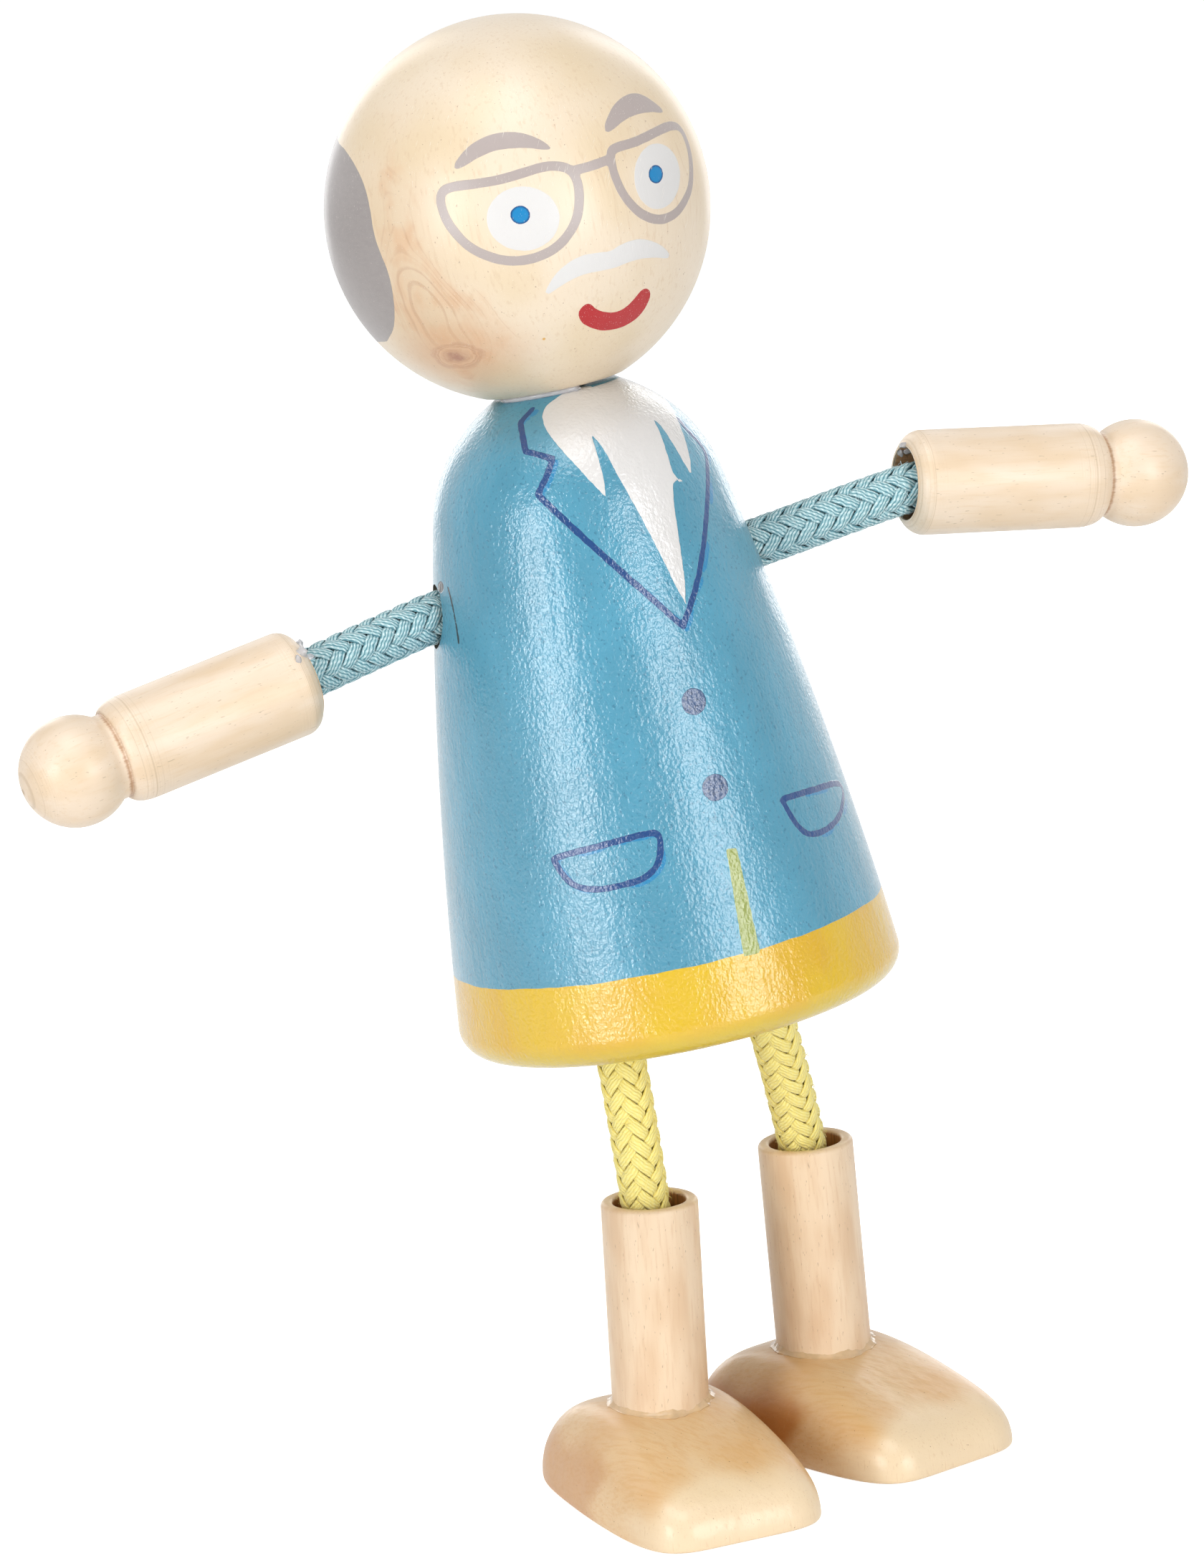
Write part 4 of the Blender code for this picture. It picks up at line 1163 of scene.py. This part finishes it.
def sleeve(rings, sides, put, chart):
    """A closed round form, whose vertices and corners are placed by shares along and around.

    put gives a vertex's place and how deep it is buried, and chart a corner's place on the yarn.
    """
    form = bmesh.new()
    bmesh.ops.create_grid(form, x_segments=rings, y_segments=sides, size=0.5)
    flat = form.loops.layers.uv.new("yarn")
    buried = form.verts.layers.float.new("buried")
    for face in form.faces:
        for loop in face.loops:
            loop[flat].uv = chart(loop.vert.co.x + 0.5, loop.vert.co.y + 0.5)
    for vert in form.verts:
        vert.co, vert[buried] = put(vert.co.x + 0.5, vert.co.y + 0.5)
    return sealed(form, ends=True)


def strand(route, index, way, first, last, sizes):
    """One flat strand of the braid, two over and two under, between two lengths of its route."""
    lean = radians(BRAID_ANGLE)
    winding = tan(lean) / BRAID_MEAN_RADIUS

    def put(share, around):
        s = share * (last - first) + first
        across = cos(2.0 * pi * around) * sizes.strand_width / 2.0
        turn = 2.0 * pi * index / CARRIERS_EACH_WAY + way * winding * s
        turn += across * cos(lean) / BRAID_MEAN_RADIUS
        s -= way * across * sin(lean)
        crossing = CARRIERS_EACH_WAY * (turn + way * winding * s) / (2.0 * pi)
        lift = tanh(2.2 * cos(pi * (index + crossing - 0.5) / 2.0)) / tanh(2.2) * way
        radius = BRAID_MEAN_RADIUS + BRAID_RISE * lift
        radius += sin(2.0 * pi * around) * sizes.strand_thickness / 2.0
        return route.point(s, turn, radius), 0.5 - 0.5 * lift

    def chart(share, around):
        s = share * (last - first) + first
        return s / MM / cos(lean), (1.0 - cos(2.0 * pi * around)) / 2.0

    return sleeve(max(4, round((last - first) / (0.16 * MM))), 18, put, chart)


def bar(route, radius, first, last, sides=12, step=0.4 * MM):
    """A round bar along a stretch of a route."""
    def put(share, around):
        # A bar counts as fully buried, which the yarn colours as painted shade.
        return route.point(share * (last - first) + first, 2.0 * pi * around, radius), 1.0

    def chart(share, around):
        return share * (last - first) / MM, (around - 0.5) * 3.0

    return sleeve(max(4, round((last - first) / step)), sides, put, chart)


def stray_fibres(route, first, last, count, lift, seed):
    """Fine stray hairs that stand off a braid by up to a lift."""
    chance = np.random.default_rng(seed)
    form = bmesh.new()
    flat = form.loops.layers.uv.new("yarn")
    form.verts.layers.float.new("buried")
    for _ in range(count):
        start, turn = chance.uniform(first, last), chance.uniform(0.0, 2.0 * pi)
        along, across = chance.normal(0.0, 0.55 * MM, 2)
        top, free = chance.uniform(0.2, 1.0) * lift, chance.uniform(0.0, 1.0)
        thick = chance.uniform(0.012, 0.020) * MM

        def hair(share):
            rise = top * (sin(pi * share) * (1.0 - free) + share * free)
            return route.point(start + along * share, turn + across * share / CORD_DIAMETER * 2.0,
                               CORD_DIAMETER / 2.0 - 0.08 * MM + rise)

        sideways = (hair(1.0) - hair(0.0)).orthogonal().normalized()
        upward = (hair(1.0) - hair(0.0)).normalized().cross(sideways)
        grid = bmesh.ops.create_grid(form, x_segments=6, y_segments=3, size=0.5)["verts"]
        for vert in grid:
            share, around = vert.co.x + 0.5, 2.0 * pi * (vert.co.y + 0.5)
            vert.co = hair(share) + (sideways * cos(around) + upward * sin(around)) * thick
    for face in form.faces:
        for loop in face.loops:
            loop[flat].uv = (0.1, 0.125)
    return sealed(form)


def build_cords(limb, yarn, sizes):
    """Both cords of a kind of limb, each in two halves."""
    end_body, slot, in_body, in_end, fibres, seed = LIMBS[limb]
    steel = drawn_steel()
    for side in SIDES:
        route, hole, mouth = limb_route(side, limb)
        start, end = route.length_at(hole), route.length_at(mouth)
        middle = (start + end) / 2.0
        halfway = route.point(middle)
        cord = f"{side}_{limb}_cord"
        halves = (("inner", start - in_body, middle, "body", cord, hole, halfway),
                  ("outer", middle, end + in_end, cord, f"{side}_{end_body}", halfway, mouth))
        for half, first, last, before, after, bend_start, bend_end in halves:
            forms = [strand(route, index, way, first, last, sizes)
                     for way in (1, -1) for index in range(CARRIERS_EACH_WAY)]
            forms += [bar(route, BRAID_CORE_RADIUS, first, last, 24),
                      stray_fibres(route, max(first, start), min(last, end), fibres, 0.30 * MM,
                                   seed)]
            if half == "outer":
                forms.append(stray_fibres(route, end - 0.8 * MM, end + 0.4 * MM, 30, 0.55 * MM,
                                          seed + 1))
            seed += 2
            wire = bar(route, WIRE_DIAMETER / 2.0, first, last)
            for name, parts, surface, group, node, sharp in (
                    (f"{side}_{limb}_braid_{half}", forms, yarn, slot, cord, 70.0),
                    (f"{side}_{limb}_core_wire_{half}", [wire], steel, "soft_steel_wire",
                     f"{side}_{limb}_wire", 45.0)):
                made = piece(name, mesh_from(name, *parts), [surface], group, [node], sharp=sharp)
                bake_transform(made)
                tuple(bend_start)
                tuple(bend_end)


# ---------------------------------------------------------------- operators

class DOLL_OT_stage(bpy.types.Operator):
    """Pale floor, soft studio light and the photograph's camera"""
    bl_idname = "doll.stage"
    bl_label = "Stage"

    def glow(self, tree, unseen, seen, gloss):
        """A strength for light on the doll, one for what the camera sees, and one for gloss."""
        camera, glossy, clear = [add(tree, "LightPath", out=f"Is {kind} Ray")
                                 for kind in ("Camera", "Glossy", "Transmission")]
        shiny = add(tree, "Math", (glossy, clear), operation="MAXIMUM")
        strength = add(tree, "Mix", {0: shiny, 2: unseen, 3: gloss})
        return add(tree, "Mix", {0: camera, 2: strength, 3: seen})

    def execute(self, context):
        scene = context.scene
        scene.view_settings.view_transform = "Standard"
        form = bmesh.new()
        bmesh.ops.create_grid(form, x_segments=1, y_segments=1, size=FLOOR_REACH)
        mesh = mesh_from("pale_floor", form)
        floor = placed("pale_floor", mesh)
        tree, shader, made = finish("matt_white_floor", Roughness=0.9,
                                    Base_Color=linear("#F4F4F4"),
                                    Emission_Color=linear("#FFFFFF"))
        tree.links.new(self.glow(tree, *FLOOR_GLOW), shader.inputs["Emission Strength"])
        mesh.materials.append(made)
        world = bpy.data.worlds.new("white_studio")
        world.use_nodes = True
        scene.world = world
        background = world.node_tree.nodes["Background"]
        background.inputs["Color"].default_value = linear("#FFFFFF")
        target = BODY @ Vector((0.0, 0.0, BODY_HEIGHT / 2.0))
        sight = CAMERA.translation - target
        # Gloss sees a white backdrop behind the doll and a dimmer room in front of it.
        sky = world.node_tree
        behind = add(sky, "VectorMath", (add(sky, "TexCoord", out="Generated"),
                                         -sight.normalized()), "Value", operation="DOT_PRODUCT")
        gloss = add(sky, "MapRange", (behind, -0.35, 0.35, 0.30, 1.0))
        sky.links.new(self.glow(sky, WORLD_LIGHT, 1.0, gloss), background.inputs["Strength"])
        for name, (angle, up, distance, width, tall, power) in LAMPS.items():
            heading = atan2(sight.y, sight.x) + radians(angle)
            way = Vector((cos(heading) * cos(radians(up)), sin(heading) * cos(radians(up)),
                          sin(radians(up))))
            lamp = bpy.data.lights.new(name, "AREA")
            lamp.shape = "RECTANGLE"
            lamp.size, lamp.size_y, lamp.energy = width, tall, power
            holder = placed(name, lamp)
            holder.location = target + way * distance
            holder.rotation_euler = way.to_track_quat("Z", "Y").to_euler()
        camera = bpy.data.cameras.new("photo_camera")
        camera.sensor_fit = "VERTICAL"
        camera.sensor_height = SENSOR_HEIGHT
        camera.lens = SENSOR_HEIGHT * FOCAL_PIXELS / PHOTO_HEIGHT
        scene.camera = placed("photo_camera", camera)
        scene.camera.matrix_world = CAMERA
        return {"FINISHED"}


def hair_edge(front, middle):
    """Outline of the hair: its front edge, mirrored about the face and closed round the back."""
    heading = Vector((middle[0], middle[1], 0.0)).normalized()
    across = (-heading.y, heading.x, 0.0)
    mirror = Matrix.Identity(3) - 2.0 * Matrix([[a * b for b in across] for a in across])
    other = np.array([(mirror @ Vector(place))[:] for place in front[::-1]])
    behind = atan2(-heading.y, -heading.x)
    sides = []
    for start, end, lift in ((front[-1], other[0], HAIR_NAPE_LIFT),
                             (other[-1], front[0], HAIR_CROWN_LIFT)):
        low, high = [behind + (atan2(place[1], place[0]) - behind + pi) % (2.0 * pi) - pi
                     for place in (start, end)]
        line = []
        for share in [i / 24.0 for i in range(1, 24)]:
            z = start[2] + (end[2] - start[2]) * share + lift * sin(pi * share)
            turn = low + (high - low) * share
            flat = sqrt(max((HEAD_DIAMETER / 2.0) ** 2 - z * z, 0.0))
            line.append((flat * cos(turn), flat * sin(turn), z))
        sides.append(np.array(line))
    return np.concatenate((front, sides[0], other, sides[1])), heading


class DOLL_OT_head(bpy.types.Operator):
    """Varnished ball head with its painted face and hair"""
    bl_idname = "doll.head"
    bl_label = "Head"

    def execute(self, context):
        colours, stroke = context.scene.doll_colours, context.scene.doll_sizes.glasses_stroke
        form = turned(spaced(head_profile(), HEAD_STEP), HEAD_SIDES)
        surface = BVHTree.FromBMesh(form)
        mesh = mesh_from("head_ball", form)
        middle = traced([FACE_MIDDLE], surface, HEAD)[0]
        glasses = [(RIGHT_LENS, True, stroke), (LEFT_LENS, True, stroke), (BRIDGE, False, stroke)]
        paint(mesh, surface, HEAD, chart_about(middle), {
            "features": glasses + filled(RIGHT_BROW, LEFT_BROW),
            "white_paint": filled(MOUSTACHE, RIGHT_EYE, LEFT_EYE),
            "pupil": filled(RIGHT_PUPIL, LEFT_PUPIL),
            "mouth": filled(MOUTH),
        })
        outline, heading = hair_edge(traced(rounded(HAIR_FRONT, False), surface, HEAD), middle)
        keep(mesh, "hair", depth_in(places_of(mesh), outline, chart_about(-heading),
                                    margin=HEAD_DIAMETER))
        spots = [Vector(spot) for spot in traced([KNOT, TEMPLE, SPECK], surface, HEAD)]
        mesh.transform(HEAD)
        piece("head_ball", mesh, [painted_head_wood(colours, *spots)], "painted_head",
              ["head"], "body")
        return {"FINISHED"}


class DOLL_OT_coat(bpy.types.Operator):
    """Turned body with its painted coat, beard, buttons and hem"""
    bl_idname = "doll.coat"
    bl_label = "Coat body"

    def execute(self, context):
        colours, sizes = context.scene.doll_colours, context.scene.doll_sizes
        hole = NECK_DOWEL_DIAMETER / 2.0 + SEAT_GAP
        floor = BODY_HEIGHT - NECK_DOWEL_LENGTH / 2.0 - SEAT_GAP
        outline = spaced(coat_outline(), COAT_STEP)
        neck = spaced([(0.0, floor), (hole, floor), (hole, BODY_HEIGHT), outline[0]],
                      COAT_HIDDEN_STEP)
        base = spaced([outline[-1], (0.0, 0.0)], COAT_HIDDEN_STEP)
        form = turned(neck[:-1] + outline + base[1:], COAT_SIDES)
        surface = BVHTree.FromBMesh(form)
        # The drilled holes are coloured dark grey inside: painted shade.
        bore_shade = clear_wood("shaded_bored_wood", BODY, linear("#6A6252"), linear("#2A3036"), Roughness=0.8)
        bore = CORD_DIAMETER + 2.0 * CORD_CLEARANCE
        drills = []
        for way in (-1.0, 1.0):
            mouth, outward = arm_hole(way)
            steps = [(ARM_HOLE_MOUTH_DIAMETER, ARM_HOLE_MOUTH_DEPTH), (bore, ARM_HOLE_MOUTH_DEPTH),
                     (bore, ARM_HOLE_DEPTH)]
            drills += [drill_form(steps, mouth, -outward),
                       drill_form([(bore, LEG_HOLE_DEPTH)], leg_hole_mouth(way), UP)]
        block = mesh_from("coat_block", form)
        block.materials.append(coat_paint(colours, sizes))
        drill_mesh = mesh_from("limb_drills", *drills)
        drill_mesh.materials.append(bore_shade)
        mesh = cut(block, drill_mesh)
        lines = [(RIGHT_LAPEL, False, sizes.coat_stroke), (LEFT_LAPEL, False, sizes.coat_stroke),
                 (RIGHT_POCKET, True, sizes.pocket_stroke),
                 (LEFT_POCKET, True, sizes.pocket_stroke)]
        right, down = FIRST_LINES_SHIFT
        first_lines = [([(x + right, y + down) for x, y in points], closed, width)
                       for points, closed, width in lines]
        paint(mesh, surface, BODY, round_the_body, {
            "lines": lines,
            "first_lines": first_lines,
            "beard": filled(BEARD),
            "buttons": filled(*BUTTONS),
            "slit": filled(SLIT),
            "crack": [(CRACK, False, CRACK_WIDTH)] + filled(*CHIPS),
        })
        mesh.transform(BODY)
        piece("coat_body", mesh, [], "blue_coat_paint", ["torso"], "body", sharp=38.0)
        return {"FINISHED"}


class DOLL_OT_hands(bpy.types.Operator):
    """Turned forearms with their ball hands"""
    bl_idname = "doll.hands"
    bl_label = "Hands"

    def execute(self, context):
        tint = tuple(context.scene.doll_colours.hand_wood)
        wrist = HAND_LENGTH - HAND_BALL_DIAMETER
        for side in SIDES:
            place = hand_frame(side)[0]
            # The hollow's colour darkens the inside of the bore, and the groove is darkened:
            # painted shade.
            wood = clear_wood(f"varnished_{side}_hand_wood", place, tint, linear("#E3C7A2"),
                              hollow=(HAND_MOUTH_DIAMETER / 2.0 + 0.15 * MM, 0.05 * MM,
                                      HAND_HOLE_DEPTH + 0.6 * MM, linear("#BC8E64")),
                              rings=(HAND_LENGTH, wrist - 0.4 * MM, 0.6 * MM),
                              groove=wrist + 1.22 * MM,
                              Roughness=0.42, Coat_Weight=0.22, Coat_Roughness=0.25)
            form = turned(hand_profile(), PLAIN_SIDES, place)
            piece(f"{side}_forearm_and_hand", mesh_from("hand", form), [wood],
                  "lacquered_hand_wood", [f"{side}_hand"], f"{side}_hand", sharp=40.0)
        return {"FINISHED"}


class DOLL_OT_tubes(bpy.types.Operator):
    """Turned wooden leg tubes"""
    bl_idname = "doll.tubes"
    bl_label = "Leg tubes"

    def execute(self, context):
        tint = tuple(context.scene.doll_colours.tube_wood)
        for side in SIDES:
            place = tube_frame(side)
            # The hollow's colour darkens the inside of the bore: painted shade.
            wood = clear_wood(f"bare_{side}_tube_wood", place, tint, linear("#DDB891"),
                              hollow=(TUBE_BORE_DIAMETER / 2.0 + 0.14 * MM, TUBE_FLOOR - MM,
                                      TUBE_LENGTH - 0.05 * MM, linear("#B98258")),
                              Roughness=0.44, Coat_Weight=0.20, Coat_Roughness=0.25)
            form = turned(tube_profile(), PLAIN_SIDES, place)
            piece(f"{side}_leg_sleeve", mesh_from("tube", form), [wood], "bare_leg_wood",
                  [f"{side}_leg_tube"], f"{side}_lower_leg", sharp=50.0)
        return {"FINISHED"}


def foot_form(side):
    """Shoe-shaped foot with a soft sole edge, and its tube's socket, in the foot's own frame."""
    cage = bmesh.new()
    bmesh.ops.create_cube(cage, size=2.0)
    bmesh.ops.subdivide_edges(cage, edges=cage.edges, cuts=2, use_grid_fill=True)
    middle = FOOT_HEEL - FOOT_LENGTH / 2.0
    for vert in cage.verts:
        across, along, up = vert.co
        row = round((along + 1.0) * 1.5)
        across *= FOOT_ROW_WIDTH_SHARES[row]
        if abs(round(up)) == 1:
            across *= FOOT_TOP_WIDTH_SHARE
            along *= FOOT_TOP_LENGTH_SHARE
            up *= FOOT_ROW_HEIGHT_SHARES[row]
        vert.co = (across * FOOT_WIDTH / 2.0, middle + along * FOOT_LENGTH / 2.0,
                   up * FOOT_HEIGHT)
    holder = placed("foot_cage", mesh_from("foot_cage", cage))
    soft = holder.modifiers.new("soft form", "SUBSURF")
    soft.levels = soft.render_levels = 4
    smooth = evaluated(holder)
    bpy.data.objects.remove(holder, do_unlink=True)
    for vert in smooth.vertices:
        z = vert.co.z
        if z >= 0.0:
            vert.co.z = SOLE_EDGE + z * (1.0 - SOLE_EDGE / FOOT_HEIGHT)
        else:
            vert.co.z = SOLE_EDGE * max(0.0, 1.0 + z / (0.3 * FOOT_HEIGHT)) ** 2
    socket = drill_form([(TUBE_DIAMETER + SEAT_GAP, FOOT_HEIGHT + SEAT_GAP)],
                        (0.0, 0.0, FOOT_HEIGHT), -UP, 64)
    bmesh.ops.transform(socket, matrix=foot_frame(side).inverted() @ tube_frame(side),
                        verts=socket.verts)
    return smooth, mesh_from("socket", socket)


class DOLL_OT_feet(bpy.types.Operator):
    """Shaped and varnished wooden feet"""
    bl_idname = "doll.feet"
    bl_label = "Feet"

    def execute(self, context):
        for side, stain_and_shade in zip(SIDES, FOOT_STAIN_AND_SHADE):
            mesh = cut(*foot_form(side))
            mesh.materials.clear()
            mesh.transform(foot_frame(side))
            wood = foot_varnish(side, context.scene.doll_colours, stain_and_shade)
            piece(f"{side}_shaped_foot", mesh, [wood], "lacquered_foot_wood", [f"{side}_foot"],
                  f"{side}_lower_leg", sharp=50.0)
        return {"FINISHED"}


class DOLL_OT_arm_cords(bpy.types.Operator):
    """Teal braided arm cords with their wires"""
    bl_idname = "doll.arm_cords"
    bl_label = "Arm cords"

    def execute(self, context):
        # The paler colour is a painted highlight and the darker one painted shade.
        yarn = braided_yarn("teal_cotton_braid", tuple(context.scene.doll_colours.arm_cord),
                            "#E8F7F8", "#4E8A99", 0.95)
        build_cords("arm", yarn, context.scene.doll_sizes)
        return {"FINISHED"}


class DOLL_OT_leg_cords(bpy.types.Operator):
    """Yellow braided leg cords with their wires"""
    bl_idname = "doll.leg_cords"
    bl_label = "Leg cords"

    def execute(self, context):
        # The paler colour is a painted highlight and the darker one painted shade.
        yarn = braided_yarn("yellow_cotton_braid", tuple(context.scene.doll_colours.leg_cord),
                            "#FFFAC8", "#F2D75A", 0.32)
        build_cords("leg", yarn, context.scene.doll_sizes)
        return {"FINISHED"}


def glue_drop(place, reach, seed):
    """One lumpy drop of glue about a place: a ball stretched, in mm, and pulled about."""
    form = bmesh.new()
    bmesh.ops.create_icosphere(form, subdivisions=3, radius=1.0)
    for vert in form.verts:
        pull = 1.0 + 0.4 * noise.noise(vert.co * 1.6 + Vector((seed * 7.3, 0.0, 0.0)))
        vert.co = place + Vector([part * (size * MM) * pull
                                  for part, size in zip(vert.co, reach)])
    return form


def glue_fillet(side, surface):
    """A hollow-faced, uneven bead of glue round a leg tube, where it enters its foot."""
    tube = tube_frame(side)
    inward = (tube.to_3x3() @ -UP).normalized()
    heights, swell = [], []
    for index in range(FILLET_SIDES + 1):
        turn = 2.0 * pi * (index % FILLET_SIDES) / FILLET_SIDES
        way = Vector((cos(turn), sin(turn), 0.0))
        above = tube @ (way * (TUBE_DIAMETER / 2.0 + 0.25 * MM) + UP * 0.03)
        hit = surface.ray_cast(above, inward)[0]
        heights.append((tube.inverted() @ hit).z)
        swell.append(1.0 + 0.7 * noise.noise(way * 2.3) + 0.35 * noise.noise(way * 9.0))
    form = bmesh.new()
    bmesh.ops.create_grid(form, x_segments=FILLET_SIDES, y_segments=len(FILLET_SECTION), size=0.5)
    for vert in form.verts:
        index = round((vert.co.x + 0.5) * FILLET_SIDES)
        corner = round((vert.co.y + 0.5) * len(FILLET_SECTION)) % len(FILLET_SECTION)
        out, up = [part * (swell[index] if part > 0.0 else 1.0) * MM
                   for part in FILLET_SECTION[corner]]
        turn = 2.0 * pi * index / FILLET_SIDES
        reach = TUBE_DIAMETER / 2.0 + out
        vert.co = tube @ Vector((cos(turn) * reach, sin(turn) * reach, heights[index] + up))
    return sealed(form)


class DOLL_OT_glue(bpy.types.Operator):
    """Glue that was squeezed out of the neck, the hands' mouths and the feet"""
    bl_idname = "doll.glue"
    bl_label = "Glue"

    def execute(self, context):
        thick = context.scene.doll_sizes.glue_bead
        clear = hardened_glue("clear_hot_glue", linear("#F2F2F6"), 0.55)
        cloudy = hardened_glue("hot_glue_on_wood", linear("#E9C9A0"), 0.10)
        # The neck's bead shows for a quarter of the way round, at the front and right.
        turns = [radians(value) for value in range(196, 272, 6)]
        ring = Route([BODY @ Vector((cos(turn) * NECK_DIAMETER / 2.0,
                                     sin(turn) * NECK_DIAMETER / 2.0,
                                     BODY_HEIGHT + SEAT_GAP / 2.0)) for turn in turns])
        forms = [bar(ring, thick / 2.0, 0.0, ring.lengths[-1], 16, 0.1 * MM),
                 glue_drop(ring.points[0], (0.35, 0.35, 0.20), 1),
                 glue_drop(ring.points[-1], (0.40, 0.30, 0.22), 2)]
        piece("neck_glue_bead", mesh_from("neck_glue_bead", *forms), [clear], None, (), "body")
        for side, drops in GLUE_DROPS.items():
            form = turned(hand_profile(), PLAIN_SIDES, hand_frame(side)[0])
            surface = BVHTree.FromBMesh(form)
            form.free()
            places = traced([point for point, _, _ in drops], surface, Matrix.Identity(4))
            forms = [glue_drop(Vector(place), reach, seed)
                     for place, (_, reach, seed) in zip(places, drops)]
            name = f"{side}_hand_glue"
            piece(name, mesh_from(name, *forms), [clear], None, (), f"{side}_hand")
        for side in SIDES:
            foot = foot_form(side)[0]
            foot.transform(foot_frame(side))
            whole = bmesh.new()
            whole.from_mesh(foot)
            form = glue_fillet(side, BVHTree.FromBMesh(whole))
            whole.free()
            bpy.data.meshes.remove(foot)
            name = f"{side}_foot_glue_fillet"
            piece(name, mesh_from(name, form), [cloudy], None, (), f"{side}_lower_leg")
        return {"FINISHED"}


class DOLL_OT_dowel(bpy.types.Operator):
    """Beech finish of the hidden neck dowel"""
    bl_idname = "doll.dowel"
    bl_label = "Neck dowel"

    def execute(self, context):
        beech = clear_wood("planed_beech", BODY, linear("#DDB98C"), linear("#C99C6A"),
                           Roughness=0.6)
        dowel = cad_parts["neck_dowel"]
        dowel.data.materials.clear()
        dowel.data.materials.append(beech)
        return {"FINISHED"}


class DOLL_PT_panel(bpy.types.Panel):
    """The doll's pieces, sizes and colours"""
    bl_idname = "DOLL_PT_panel"
    bl_label = "Bendy doll"
    bl_space_type = "VIEW_3D"
    bl_region_type = "UI"
    bl_category = "Bendy doll"

    def draw(self, context):
        for group in (context.scene.doll_sizes, context.scene.doll_colours):
            column = self.layout.column(align=True)
            for name in group.__annotations__:
                column.prop(group, name)
        column = self.layout.column(align=True)
        for operator in OPERATORS:
            column.operator(operator.bl_idname)


OPERATORS = (DOLL_OT_stage, DOLL_OT_head, DOLL_OT_coat, DOLL_OT_hands, DOLL_OT_tubes,
             DOLL_OT_feet, DOLL_OT_arm_cords, DOLL_OT_leg_cords, DOLL_OT_glue, DOLL_OT_dowel)
CLASSES = (DollColours, DollSizes) + OPERATORS + (DOLL_PT_panel,)


def register():
    """Register the add-on's classes and its settings."""
    for each in CLASSES:
        bpy.utils.register_class(each)
    bpy.types.Scene.doll_colours = bpy.props.PointerProperty(type=DollColours)
    bpy.types.Scene.doll_sizes = bpy.props.PointerProperty(type=DollSizes)


def unregister():
    """Take the add-on's classes and settings away again."""
    del bpy.types.Scene.doll_sizes
    del bpy.types.Scene.doll_colours
    for each in reversed(CLASSES):
        bpy.utils.unregister_class(each)


def main():
    """Build the stage and every piece."""
    register()
    bpy.ops.doll.stage()
    bpy.ops.doll.head()
    bpy.ops.doll.coat()
    bpy.ops.doll.hands()
    bpy.ops.doll.tubes()
    bpy.ops.doll.feet()
    bpy.ops.doll.arm_cords()
    bpy.ops.doll.leg_cords()
    bpy.ops.doll.glue()
    bpy.ops.doll.dowel()


if __name__ == "__main__":
    main()
